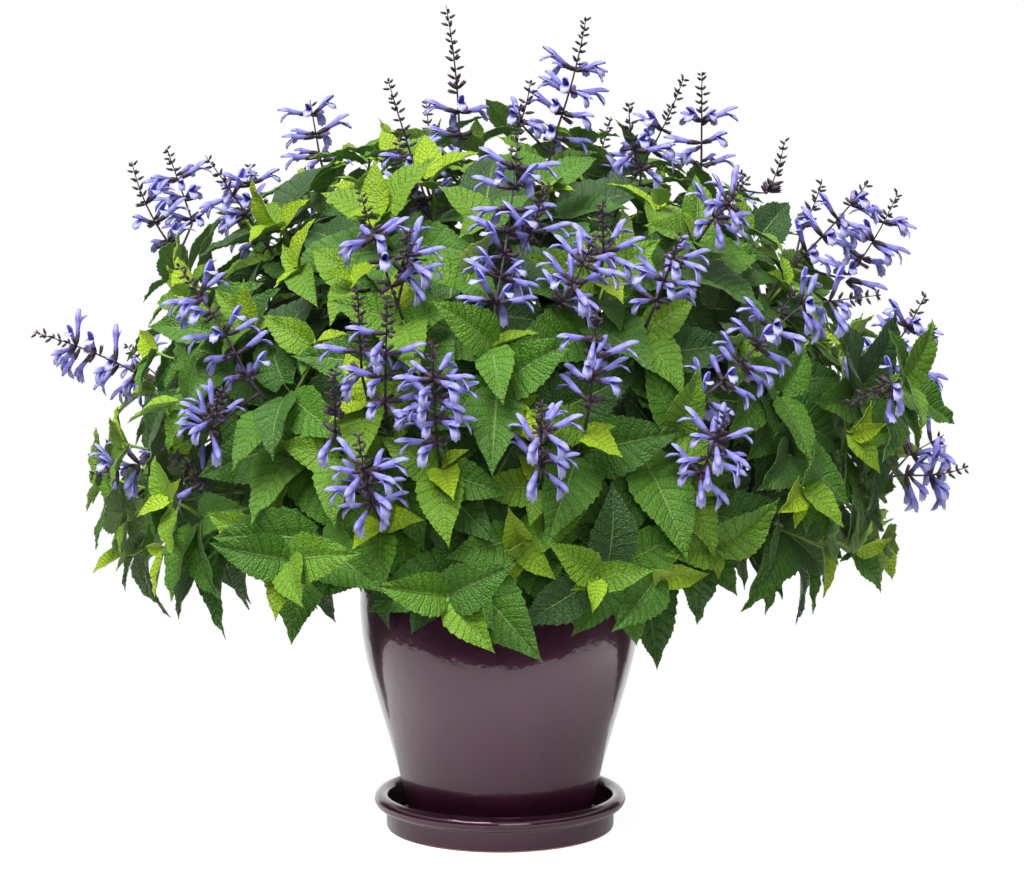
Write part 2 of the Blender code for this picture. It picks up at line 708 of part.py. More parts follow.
def grow_stems(sprays, room):
    """Each stem reaches the raceme nearest to its heading and sends side shoots to the others near it."""
    headings = [heading_vector(*pair) for pair in STEM_HEADINGS]
    centre = Vector((0, 0, HEADING_HEIGHT))
    names = stem_names()
    ends = {name: [] for name in names}
    for spray in sprays.values():
        if not spray["parent"]:
            toward = (spray["foot"] - centre).normalized()
            best = max(range(len(headings)), key=lambda k: headings[k].dot(toward))
            ends[names[best]].append((-headings[best].dot(toward), spray))
    shoots = []
    mains = {}
    for k, (name, foot) in enumerate(zip(names, stem_feet())):
        ends[name].sort(key=lambda pair: pair[0])
        arrive = headings[k]
        end = foot + arrive * LONE_STEM
        if ends[name]:
            spray = ends[name][0][1]
            arrive = (spray["base"] - spray["foot"]).normalized()
            end = spray["foot"] - arrive * JOINT_GAP
        routes = [main_route(foot, end, arrive, bow) for bow in bows((end - foot).length)]
        shoot = grow_shoot(room, name, name, "main", STEM_RADIUS, STEM_STEPS, routes, arrive)
        mains[name] = shoot["route"]
        shoots.append(shoot)
    waiting = []
    for k, name in enumerate(names):
        main = mains[name]
        for _, spray in ends[name][1:]:
            arrive = (spray["base"] - spray["foot"]).normalized()
            end = spray["foot"] - arrive * JOINT_GAP
            reach = (end - main[3]).length / (main[3] - main[0]).length
            first = min(max(BRANCH_HIGHEST - reach * BRANCH_FALL, BRANCH_LOWEST), BRANCH_HIGHEST)
            waiting.append(((end - main[3]).length, name, spray["name"], "side", end, arrive, first))
    for _, node, name, kind, end, arrive, first in sorted(waiting, key=lambda row: (-row[0], row[2])):
        routes = []
        for bow in bows((end - bezier(mains[node], first)).length):
            for at in (first, first - 0.08, first + 0.08):
                routes.append(side_route(mains[node], max(at, 0.1), end, arrive, bow))
        shoots.append(grow_shoot(room, node, name, kind, SHOOT_RADIUS, SHOOT_STEPS, routes, arrive))
    shoots += fill_shoots(room, shoots, mains, headings)
    for k, name in enumerate(names[:OUTER_FEET]):
        for way in (-1, 1):
            draw = random.Random("low %s %d" % (name, way))
            turn = math.radians(STEM_HEADINGS[k][0] + way * LOW_SHOOT_TURN)
            out = Vector((math.cos(turn), math.sin(turn), 0))
            end = out * (LOW_SHOOT_REACH * draw.uniform(0.86, 1.06))
            end.z = LOW_SHOOT_HEIGHT + draw.uniform(-0.02, 0.03)
            routes = []
            for bow in bows(0.15):
                for at in (0.12, 0.18, 0.24):
                    routes.append(low_route(mains[name], at, end, out, bow))
            label = "%s low %d" % (name, way)
            shoots.append(grow_shoot(room, name, label, "low", SHOOT_RADIUS, SHOOT_STEPS, routes, out))
    return shoots


def crown_place(azimuth, rise):
    """A point just inside the crown's surface, at this azimuth and this sine of the elevation."""
    level = math.sqrt(1 - rise * rise)
    tall = CROWN_ABOVE if rise > 0 else CROWN_BELOW
    x = math.cos(azimuth) * level * CROWN_HALF_WIDTH
    y = math.sin(azimuth) * level * CROWN_HALF_DEPTH
    return Vector((x, y, rise * tall)) * FILL_SHARE + Vector((0, 0, CROWN_MIDDLE))


def fill_shoots(room, shoots, mains, headings):
    """Leafy shoots without flowers, at those of an even spread of places that have no shoot's end near."""
    ends = [shoot["route"][3] for shoot in shoots]
    centre = Vector((0, 0, HEADING_HEIGHT))
    grown = []
    for count in range(FILL_PLACES):
        rise = FILL_LOWEST + (0.98 - FILL_LOWEST) * (count + 0.5) / FILL_PLACES
        end = crown_place(count * GOLDEN_ANGLE, rise)
        if min((end - other).length for other in ends) < FILL_SPREAD:
            continue
        ends.append(end)
        toward = (end - centre).normalized()
        k = max(range(len(headings)), key=lambda k: headings[k].dot(toward))
        node = "leafy_stem_%02d" % (k + 1)
        span = (end - mains[node][3]).length
        first = min(max(0.7 - span, 0.2), 0.7)
        routes = []
        for bow in bows(span):
            for at in (first, first - 0.1, first + 0.1):
                routes.append(side_route(mains[node], at, end, toward, bow))
        label = "fill %d" % count
        grown.append(grow_shoot(room, node, label, "side", SHOOT_RADIUS, SHOOT_STEPS, routes, toward))
    print("shoots that fill the crown", len(grown))
    return grown


def leaves_of(shoot):
    """Three leaves at each node down the shoot from its end: a pair and one from its axil."""
    route = shoot["route"]
    length = bezier_length(route)
    draw = random.Random("leaves " + shoot["name"])
    place = draw.uniform(6, 14) * MM
    found = []
    rank = 0
    while place < length * LEAFY_SHARE and rank < len(LEAF_SIZES):
        share = 1 - place / length
        root = bezier(route, share)
        bare = Vector((root.x / CROWN_HALF_WIDTH, root.y / CROWN_HALF_DEPTH,
                       (root.z - CROWN_MIDDLE) / CROWN_ABOVE)).length < BARE_INSIDE
        if bare:
            break
        heading = bezier_heading(route, share)
        normal = outward_normal(root)
        downhill = across_of(normal, Vector((0, 0, -1)))
        level = normal.cross(downhill)
        for way in (-1, 0, 1):
            aside = draw.uniform(*(ASIDE_YAW if rank % 2 else RAISED_YAW))
            yaw = way * aside + draw.uniform(-YAW_SWING, YAW_SWING)
            size = LEAF_SIZES[rank] * MM * draw.uniform(0.86, 1.12)
            lift = draw.uniform(*LEAF_LIFT) + (YOUNG_LIFT if rank == 0 else 0)
            droop = math.radians(draw.uniform(*LEAF_DROOP))
            fold = math.radians(draw.uniform(*LEAF_FOLD))
            petiole = min(SHORTEST_PETIOLE + PETIOLE_GROWTH * rank, LONGEST_PETIOLE)
            found.append({"root": root, "normal": normal, "downhill": downhill, "level": level, "yaw": yaw,
                          "lift": lift, "size": size, "droop": droop, "fold": fold, "petiole": petiole,
                          "rank": rank, "heading": heading, "share": share})
        place += LEAF_STEP * (0.8 if rank == 0 else 1.0) * draw.uniform(0.9, 1.1)
        rank += 1
    return found


def leaf_from(plan, yaw, lift, shrink):
    turn = math.radians(plan["yaw"] + yaw)
    rise = math.radians(plan["lift"] + lift)
    flat = plan["downhill"] * math.cos(turn) + plan["level"] * math.sin(turn)
    axis = (flat * math.cos(rise) + plan["normal"] * math.sin(rise)).normalized()
    axis = (axis + plan["heading"] * LEAF_LEAN).normalized()
    return Leaf(plan["root"], axis, plan["normal"], plan["size"] * shrink, plan["petiole"], plan["droop"],
                plan["fold"])


def grow_leaves(shoots, room):
    """Large leaves first. Each tries a few ways to turn until it's clear of the rest, or is left off."""
    wanted = [(plan, shoot) for shoot in shoots for plan in shoot["plans"]]
    wanted.sort(key=lambda pair: -pair[0]["size"])
    middles = []
    for plan, shoot in wanted:
        leaf = first_clear_leaf(plan, shoot["node"], room, middles)
        if leaf:
            shoot["leaves"].append((plan["share"], leaf))
            middles.append(leaf.on_blade(BLADE_MIDDLE, 0, 0))
    print("leaves wanted", len(wanted), "grown", sum(len(shoot["leaves"]) for shoot in shoots))


def first_clear_leaf(plan, node, room, middles):
    """The first way to hold the leaf that is clear of the rest and not too near another leaf's middle."""
    for shrink in (1.0, 0.88):
        for yaw in YAW_TRIES:
            for lift in LIFT_TRIES:
                leaf = leaf_from(plan, yaw, lift, shrink)
                middle = leaf.on_blade(BLADE_MIDDLE, 0, 0)
                if any((middle - other).length < LEAF_SPREAD for other in middles):
                    continue
                if room.take(node, "leaf", leaf.shape(0.5), leaf.shape(0.0)):
                    return leaf
    return None


def pot_outline():
    """One closed loop: over the rolled rim, down the side, under the foot, up the drain hole and inside."""
    middle = POT_RIM_RADIUS - POT_RIM_ROUND
    rim = []
    for degrees in (180, 125, 70, 15, -40):
        angle = math.radians(degrees)
        across = middle + POT_RIM_ROUND * math.cos(angle)
        rim.append((across, POT_RIM_HEIGHT + POT_RIM_ROUND * math.sin(angle)))
    side = [(r * MM, z * MM) for r, z in reversed(POT_SIDE)]
    foot = SAUCER_FLOOR + SEAT_GAP
    under = [(POT_FOOT_RADIUS, foot), (DRAIN_RADIUS, foot), (DRAIN_RADIUS, foot + POT_FLOOR)]
    inside = [((r * MM) - POT_WALL, z * MM) for r, z in POT_SIDE[1:]]
    inside = [(POT_SIDE[0][0] * MM - POT_WALL, foot + POT_FLOOR)] + inside
    return rim + [(POT_NECK[0] * MM, POT_NECK[1] * MM)] + side + under + inside


def pot_skin():
    """The soil's top, the rim and the pot's outside as one turned skin, for the test of room."""
    outline = pot_outline()
    inside = outline[0][0]
    under = outline.index((POT_FOOT_RADIUS, SAUCER_FLOOR + SEAT_GAP))
    top = SOIL_LEVEL - 1 * MM
    rows = [(1 * MM, top), (inside, top)] + outline[:under]
    points = []
    for radius, height in rows:
        for turn in range(TURN_STEPS):
            angle = math.tau * turn / TURN_STEPS
            points.append(Vector((radius * math.cos(angle), radius * math.sin(angle), height)))
    faces = []
    for row in range(len(rows) - 1):
        for turn in range(TURN_STEPS):
            a = row * TURN_STEPS + turn
            b = row * TURN_STEPS + (turn + 1) % TURN_STEPS
            faces.append((a, b, b + TURN_STEPS, a + TURN_STEPS))
    return points, faces


def saucer_outline():
    """From the floor's middle out to the rolled lip, down the recessed body and in under the flat base."""
    middle = SAUCER_RADIUS - SAUCER_LIP_ROUND
    height = SAUCER_HEIGHT - SAUCER_LIP_ROUND
    lip = []
    for degrees in (180, 110, 45, -20, -80):
        angle = math.radians(degrees)
        across = middle + SAUCER_LIP_ROUND * math.cos(angle)
        lip.append((across, height + SAUCER_LIP_ROUND * math.sin(angle)))
    floor = [(0, SAUCER_FLOOR), (middle - SAUCER_LIP_ROUND - 8 * MM, SAUCER_FLOOR),
             (middle - SAUCER_LIP_ROUND, SAUCER_FLOOR + 9 * MM)]
    side = SAUCER_BODY_RADIUS
    body = [(side, height - 8 * MM), (side, 4 * MM), (side - 3 * MM, 0), (0, 0)]
    return floor + lip + body


def soil_outline():
    wall = POT_WALL + SEAT_GAP
    floor = SAUCER_FLOOR + SEAT_GAP + POT_FLOOR + SEAT_GAP
    rows = [(POT_SIDE[k][0] * MM - wall, POT_SIDE[k][1] * MM) for k in (4, 3, 2, 1)]
    top = POT_SIDE[5][0] * MM - wall
    surface = [(0, SOIL_LEVEL), (top - 2 * MM, SOIL_LEVEL - 2 * MM)]
    return surface + rows + [(POT_SIDE[0][0] * MM - wall, floor), (0, floor)]


def turned(name, outline, closed, look, home):
    mesh = bpy.data.meshes.new(name)
    edges = [(k, k + 1) for k in range(len(outline) - 1)]
    if closed:
        edges.append((len(outline) - 1, 0))
    mesh.from_pydata([(r, 0, z) for r, z in outline], edges, [])
    piece = bpy.data.objects.new(name, mesh)
    home.objects.link(piece)
    screw = piece.modifiers.new("turn", "SCREW")
    screw.axis = "Z"
    screw.steps = TURN_STEPS
    screw.render_steps = TURN_STEPS
    screw.use_merge_vertices = True
    screw.merge_threshold = 0.00001
    screw.use_smooth_shade = True
    mesh.materials.append(look)
    return piece


def stem_holes(soil, home):
    """A plain hole in the soil for each stem's foot, cut by six-sided pegs."""
    hole = (STEM_RADIUS + HOLE_GAP) / math.cos(math.pi / 6)
    for k, foot in enumerate(stem_feet()):
        bpy.ops.mesh.primitive_cylinder_add(vertices=6, radius=hole, depth=FOOT_DEPTH * 2, location=foot)
        peg = bpy.context.object
        peg.name = "stem_hole_cutter_%02d" % (k + 1)
        for old in list(peg.users_collection):
            old.objects.unlink(peg)
        home.objects.link(peg)
        peg.hide_render = True
        peg.display_type = "WIRE"
        cut = soil.modifiers.new("stem hole %d" % (k + 1), "BOOLEAN")
        cut.operation = "DIFFERENCE"
        cut.object = peg


def mesh_object(name, shaped, look):
    bmesh.ops.recalc_face_normals(shaped, faces=shaped.faces)
    bmesh.ops.triangulate(shaped, faces=shaped.faces)
    mesh = bpy.data.meshes.new(name)
    shaped.to_mesh(mesh)
    shaped.free()
    mesh.materials.append(look)
    return bpy.data.objects.new(name, mesh)


def stalk_bmesh(places, radii, sides, twists=None, arrive=None):
    """The loft as a mesh, with the sides between each pair of rings."""
    points, faces = tube_shape(places, radii, sides, twists, arrive)
    shaped = bmesh.new()
    verts = [shaped.verts.new(point) for point in points]
    made = [shaped.faces.new([verts[i] for i in face]) for face in faces]
    bmesh.ops.recalc_face_normals(shaped, faces=shaped.faces)
    spans = [made[1 + k * sides:1 + (k + 1) * sides] for k in range(len(places) - 1)]
    return shaped, spans


def nearest_side(sides, out, taken):
    free = [face for face in sides if face not in taken]
    return max(free, key=lambda face: face.normal.dot(out)) if free else None


def pull_out(shaped, face, places):
    """One side of a stalk is extruded, and its corners go to these four places in turn."""
    end = bmesh.ops.extrude_discrete_faces(shaped, faces=[face])["faces"][0]
    corners = list(end.verts)
    turns = [corners[k:] + corners[:k] for k in range(4)]

    def apart(row):
        return sum((vert.co - place).length_squared for vert, place in zip(row, places))

    corners = min(turns, key=apart)
    for vert, place in zip(corners, places):
        vert.co = place
    return end, corners


def pull_leaf(shaped, face, leaf):
    """The petiole is pulled out of the shoot's side, and the blade is drawn on from its four corners."""
    right, left, tip, above, below = leaf.rows()
    end, corners = pull_out(shaped, face, (above[0], right[0], below[0], left[0]))
    bmesh.ops.delete(shaped, geom=[end], context="FACES_ONLY")
    point = shaped.verts.new(tip)
    rims = {1: [corners[1]] + [shaped.verts.new(p) for p in right[1:]] + [point],
            -1: [corners[3]] + [shaped.verts.new(p) for p in left[1:]] + [point]}
    ribs = {1: [corners[0]] + [shaped.verts.new(p) for p in above[1:]],
            -1: [corners[2]] + [shaped.verts.new(p) for p in below[1:]]}
    for way in (1, -1):
        for over in (1, -1):
            for corner in blade_strip(rims[way], ribs[over], way * over):
                shaped.faces.new(corner)


def shoot_from(shoot, foot, look):
    """A shoot with its leaves pulled out of its sides. A stem's lower end goes down into the soil."""
    places, radii = shoot_rings(shoot)
    sides = 3
    if shoot["kind"] == "main":
        places = [foot - Vector((0, 0, FOOT_DEPTH - 1 * MM))] + places
        radii = [STEM_RADIUS] + radii
        sides = 5
    shaped, spans = stalk_bmesh(places, radii, sides, arrive=shoot["arrive"])
    taken = set()
    for share, leaf in shoot["leaves"]:
        span = spans[shoot["shares"].index(share - shoot["half"]) + len(places) - len(shoot["shares"])]
        face = nearest_side(span, (leaf.base - leaf.root).normalized(), taken)
        taken.add(face)
        pull_leaf(shaped, face, leaf)
    return mesh_object(shoot["name"], shaped, look)


def pull_floret(shaped, face, member):
    """The side of the stalk is pulled out to the throat, split in two and each half drawn to a lip."""
    points, _ = floret_shape(member["root"], member["heading"], member["up"], member["size"])
    _, corners = pull_out(shaped, face, points[4:8])
    halves = bmesh.ops.connect_verts(shaped, verts=[corners[1], corners[3]])["edges"][0].link_faces
    for half in list(halves):
        lip = points[8] if corners[0] in half.verts[:] else points[9]
        bmesh.ops.poke(shaped, faces=[half])["verts"][0].co = lip


def raceme_from(spray, look):
    """The stalk with its flowers and buds pulled out of its three sides."""
    shaped, spans = stalk_bmesh(spray["rings"], spray["radii"], STALK_SIDES, spray["twists"])
    taken = set()
    chosen = []
    for member in spray["florets"] + spray["buds"]:
        face = nearest_side(spans[1 + 2 * member["count"]], member["out"], taken)
        if face:
            taken.add(face)
            chosen.append((face, member))
    for face, member in chosen:
        if member in spray["florets"]:
            pull_floret(shaped, face, member)
        else:
            tip = bmesh.ops.poke(shaped, faces=[face])["verts"][0]
            tip.co = member["root"] + member["heading"] * member["length"]
    return mesh_object(spray["name"], shaped, look)


def largest_body(mesh):
    """Drops loose scraps and sealed hollows, which are the smaller islands of the joined mesh."""
    shaped = bmesh.new()
    shaped.from_mesh(mesh)
    bmesh.ops.triangulate(shaped, faces=shaped.faces)
    waiting = set(shaped.verts)
    islands = []
    while waiting:
        start = waiting.pop()
        island = [start]
        for vert in island:
            for edge in vert.link_edges:
                other = edge.other_vert(vert)
                if other in waiting:
                    waiting.discard(other)
                    island.append(other)
        islands.append(island)
    islands.sort(key=len)
    for island in islands[:-1]:
        bmesh.ops.delete(shaped, geom=island, context="VERTS")
    shaped.to_mesh(mesh)
    shaped.free()
    return len(islands) - 1


def fuse(name, pieces, home):
    """One Boolean union on a collection joins a node's pieces. Its objects are then removed."""
    first = pieces[0]
    if len(pieces) == 1:
        first.name = name
        home.objects.link(first)
        return first
    bpy.context.scene.collection.objects.link(first)
    others = collection(name + " pieces")
    for piece in pieces[1:]:
        others.objects.link(piece)
    join = first.modifiers.new("join", "BOOLEAN")
    join.operation = "UNION"
    join.operand_type = "COLLECTION"
    join.collection = others
    join.solver = "MANIFOLD"
    seen = first.evaluated_get(bpy.context.evaluated_depsgraph_get())
    mesh = bpy.data.meshes.new_from_object(seen)
    for piece in pieces:
        bpy.data.objects.remove(piece, do_unlink=True)
    bpy.data.collections.remove(others)
    scraps = largest_body(mesh)
    if scraps:
        print(name, "dropped", scraps, "scraps")
    mesh.name = name
    made = bpy.data.objects.new(name, mesh)
    home.objects.link(made)
    return made


def main():
    clear_scene()
    home = collection("perennial_salvia_in_pot")
    cutters = collection("cutters")
    glaze = material("aubergine_glaze", (0.035, 0.014, 0.022), 0.12)
    earth = material("potting_soil", (0.035, 0.022, 0.014), 0.95)
    leaf_green = material("salvia_leaf", (0.09, 0.22, 0.035), 0.5)
    petal = material("blue_petal", (0.22, 0.22, 0.72), 0.5)

    turned("pot", pot_outline(), True, glaze, home)
    turned("saucer", saucer_outline(), False, glaze, home)
    soil = turned("soil", soil_outline(), False, earth, home)
    stem_holes(soil, cutters)

    room = Room()
    room.add("pot", "wall", pot_skin())

    sprays = grow_racemes(room)
    shoots = grow_stems(sprays, room)
    grow_leaves(shoots, room)
    blocked = [shoot["name"] for shoot in shoots if not shoot["clear"]]
    print("shoots", len(shoots), "crossing another node", blocked)
    print("open flowers", sum(len(spray["florets"]) for spray in sprays.values()))
    print("calyces and buds", sum(len(spray["buds"]) for spray in sprays.values()))

    for name, foot in zip(stem_names(), stem_feet()):
        fuse(name, [shoot_from(shoot, foot, leaf_green) for shoot in shoots if shoot["node"] == name], home)
    for node in sorted({spray["node"] for spray in sprays.values()}):
        racemes = [spray for spray in sprays.values() if spray["node"] == node]
        fuse(node, [raceme_from(spray, petal) for spray in racemes], home)


main()
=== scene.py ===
# %% [markdown]
# # A perennial sage in a glazed pot, with its looks
# The solids of this plant are already made: a pot, a saucer, the soil, twelve leafy stems and the dark
# flowering ends. They are correct but coarse. This lesson puts finer pieces in their place, which keep the
# same form, and adds what solids leave out: toothed and veined leaves, two-lipped flowers in ribbed calyces,
# buds, and the materials.
#
# A plant with more than a thousand leaves could be placed leaf by leaf, scattered over a shell, or grown by
# a rule. It's grown here by the same rule and the same seeds as the solids, so that each fine leaf lies
# where its plain one is.

import json
import math
import random

import bmesh
import bpy
import numpy as np
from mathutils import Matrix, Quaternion, Vector, noise
from mathutils.bvhtree import BVHTree

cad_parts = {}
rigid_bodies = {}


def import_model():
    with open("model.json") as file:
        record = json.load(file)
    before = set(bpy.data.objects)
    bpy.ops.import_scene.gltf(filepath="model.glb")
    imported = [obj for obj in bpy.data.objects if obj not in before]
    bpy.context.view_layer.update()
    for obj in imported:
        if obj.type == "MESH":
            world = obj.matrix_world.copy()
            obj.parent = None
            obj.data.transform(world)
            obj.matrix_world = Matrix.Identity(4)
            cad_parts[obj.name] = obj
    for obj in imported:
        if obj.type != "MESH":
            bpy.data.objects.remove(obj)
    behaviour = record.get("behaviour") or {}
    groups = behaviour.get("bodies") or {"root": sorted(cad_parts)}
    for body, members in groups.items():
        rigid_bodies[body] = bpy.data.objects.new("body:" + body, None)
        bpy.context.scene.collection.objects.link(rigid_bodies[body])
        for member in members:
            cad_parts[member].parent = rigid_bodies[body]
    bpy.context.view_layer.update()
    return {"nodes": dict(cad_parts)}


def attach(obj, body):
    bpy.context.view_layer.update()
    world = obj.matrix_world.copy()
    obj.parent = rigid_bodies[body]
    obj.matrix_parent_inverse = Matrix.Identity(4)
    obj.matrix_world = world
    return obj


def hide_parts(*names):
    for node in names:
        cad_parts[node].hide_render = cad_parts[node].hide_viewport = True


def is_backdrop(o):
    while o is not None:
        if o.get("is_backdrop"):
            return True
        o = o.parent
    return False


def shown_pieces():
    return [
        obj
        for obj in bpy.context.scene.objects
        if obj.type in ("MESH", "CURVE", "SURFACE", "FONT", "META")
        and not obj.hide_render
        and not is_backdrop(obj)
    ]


MM = 0.001
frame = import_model()
print("solids loaded:", len(frame["nodes"]), "nodes")

# %% [markdown]
# ## The growing rule
# On the real plant each raceme of flowers ends a shoot, shoots branch from a few stems, and leaves sit at
# the nodes down every shoot. The rule below starts from the racemes as the front view shows them and works
# back to the soil. Every piece is kept only where it's clear of the pieces of other stems.

# %% Pot and saucer, with the same driving dimensions as the solids
POT_RIM_RADIUS = 142.0 * MM
POT_RIM_ROUND = 8.5 * MM
POT_RIM_HEIGHT = 264.0 * MM
POT_FLOOR = 11.0 * MM
POT_WALL = 8.0 * MM
DRAIN_RADIUS = 12.5 * MM
POT_SIDE = [(91.5, 14), (106.8, 75), (125, 137), (136.8, 181), (141, 222), (140.5, 240)]
POT_NECK = (136.8, 251)
SEAT_GAP = 0.3 * MM
SOIL_LEVEL = 240.0 * MM
SAUCER_RADIUS = 126.8 * MM
SAUCER_HEIGHT = 36.3 * MM
SAUCER_FLOOR = 6.0 * MM
SAUCER_BODY_RADIUS = 115.0 * MM
SAUCER_LIP_ROUND = 7.3 * MM

print("pot width in mm", round(2 * POT_RIM_RADIUS / MM))

# %% Where the front view is seen from, and the crown that the leaves fill
EYE_DISTANCE = 2.3
EYE_HEIGHT = 0.575
CROWN_MIDDLE = 0.37
CROWN_ABOVE = 0.40
CROWN_BELOW = 0.33
CROWN_HALF_WIDTH = 0.425
CROWN_HALF_DEPTH = 0.39
CROWN_SQUARENESS = 2.4
CROWN_SHOULDER = 1.2
LEAST_UPWARD = 0.12
RACEME_BASE_SHARE = 0.93
RACEME_TIP_SHARE = 1.08
SHIFTS = [0, 0.02, -0.02, 0.04, -0.04, 0.06, -0.06, 0.09]

# %% Numbers of the stems and shoots
# Where each stem heads, as degrees round the axis and above the level
STEM_HEADINGS = [(-172, 24), (-140, 26), (-108, 24), (-76, 27), (-44, 24), (-12, 26),
                 (32, 30), (90, 30), (146, 30), (-128, 60), (-55, 60), (88, 64)]
HEADING_HEIGHT = 0.26
OUTER_FEET = 9
OUTER_FOOT_RADIUS = 58 * MM
INNER_FOOT_RADIUS = 24 * MM
FOOT_DEPTH = 26 * MM
STEM_RADIUS = 3.6 * MM
SHOOT_RADIUS = 2.2 * MM
STEM_STEPS = 4
SHOOT_STEPS = 2
PEDUNCLE = 30 * MM
PEDUNCLE_RISE = 0.55
STALK_RADIUS = 1.7 * MM
STALK_TAPER = 0.3
JOINT_GAP = 0.4 * MM
BRANCHING_SHARE = 0.52
FILL_PLACES = 90
FILL_LOWEST = 0.05
FILL_SHARE = 0.86
FILL_SPREAD = 0.11
FILL_HIGHEST = 0.98
FILL_BRANCHES = (0.2, 0.7)
FILL_BRANCH_SHIFT = 0.1
GOLDEN_ANGLE = math.pi * (3 - math.sqrt(5))
LOW_SHOOT_TURN = 11
LOW_SHOOT_REACH = 0.37
LOW_SHOOT_HEIGHT = 0.300
LOW_SHOOT_LIFT = 60 * MM
LOW_SHOOT_OUT = 40 * MM
LOW_SHOOT_HANG = 45 * MM
LOW_SHOOT_END = 0.4
LOW_SHOOT_PLACES = (0.12, 0.18, 0.24)
LOW_SHOOT_REACHES = (0.86, 1.06)
LOW_SHOOT_RISES = (-0.02, 0.03)
LOW_SHOOT_BOW = 0.15
STRAIGHT_START = 0.35
STRAIGHT_END = 0.3
LONE_STEM = 0.3
BRANCH_LOWEST = 0.16
BRANCH_HIGHEST = 0.72
BRANCH_FALL = 0.55
BRANCH_SHIFT = 0.08
NEAREST_BRANCH = 0.1
BOW_SIZES = (0.05, 0.1, 0.16, 0.22)
BOW_TURNS = 8
print("stems", len(STEM_HEADINGS))

# %% Numbers of the coarse leaves
FIRST_LEAF = (6, 14)
LEAF_STEP = 57 * MM
LEAF_SIZES = [66, 92, 108, 112, 106, 100]
LEAF_SIZE_SWING = (0.86, 1.12)
LEAF_STEP_SWING = (0.9, 1.1)
FIRST_STEP_SHARE = 0.8
LEAF_WIDTH_SHARE = 0.61
BARE_INSIDE = 0.66
BLADE_HALF_THICKNESS = 0.9 * MM
EDGE_PLACES = [0.0, 0.16, 0.4, 0.48]
EDGE_NOTCHES = (2,)
NOTCH = 0.84
RIB_PLACES = [0.0, 0.45]
PETIOLE_HALF_WIDTH = 1.5 * MM
LEAF_NODE_HALF = 2.5 * MM
SHORTEST_PETIOLE = 8 * MM
LONGEST_PETIOLE = 24 * MM
PETIOLE_GROWTH = 7 * MM
PETIOLE_OUT = 0.8
PETIOLE_UP = 0.45
LEAF_LEAN = 0.25
LEAFY_SHARE = 0.9
ASIDE_YAW = (50, 80)
RAISED_YAW = (95, 140)
YAW_SWING = 18
LEAF_LIFT = (2, 22)
YOUNG_LIFT = 12
LEAF_DROOP = (22, 52)
LEAF_FOLD = (8, 20)
SOLID_RANKS = (0, 1, 2)
BLADE_MIDDLE = 0.45
LEAF_SPREAD = 54 * MM
CLEARANCE = 0.8 * MM
STALK_CLEARANCE = 0.3 * MM
YAW_TRIES = [0, 16, -16, 32, -32, 50, -50]
LIFT_TRIES = [0, 9, -9, 19]
SHRINK_TRIES = (1.0, 0.88)

# %% Numbers of the coarse flowers
FLOWER_ROOM = 5 * MM
STALK_SIDES = 3
WHORL_STEP = 23 * MM
WHORL_STEP_AT_TIP = 16 * MM
WHORL_HALF = 2.4 * MM
WHORL_TWIST = 1 / 6
WHORLS_TO_AT_LEAST = 0.4
BUD_SPIKE_RADIUS = 3.2 * MM
BUD_SPIKE_ROWS = ((0.3, 1.0), (1.0, 0.2))
OPEN_CHANCE = 0.8
FLOWER_SIZES = (0.92, 1.08)
FLOWER_CLIMB = (0.25, 0.55)
BUD_CLIMB = (0.7, 0.9)
FLOWER_HANG = 0.22
STALK_SAG = (-0.06, 0.12)
UNTESTED_FLOWER_ROOT = 9 * MM
UNTESTED_BUD_ROOT = 4 * MM
FLORET_THROAT = 23 * MM
FLORET_THROAT_HALF = 3.6 * MM
FLORET_HOOD = 39 * MM
FLORET_HOOD_RISE = 2.5 * MM
FLORET_LIP = 34 * MM
FLORET_LIP_DROP = 11 * MM
CALYX_LENGTH = 15 * MM
BUD_LENGTH_AT_TIP = 7 * MM

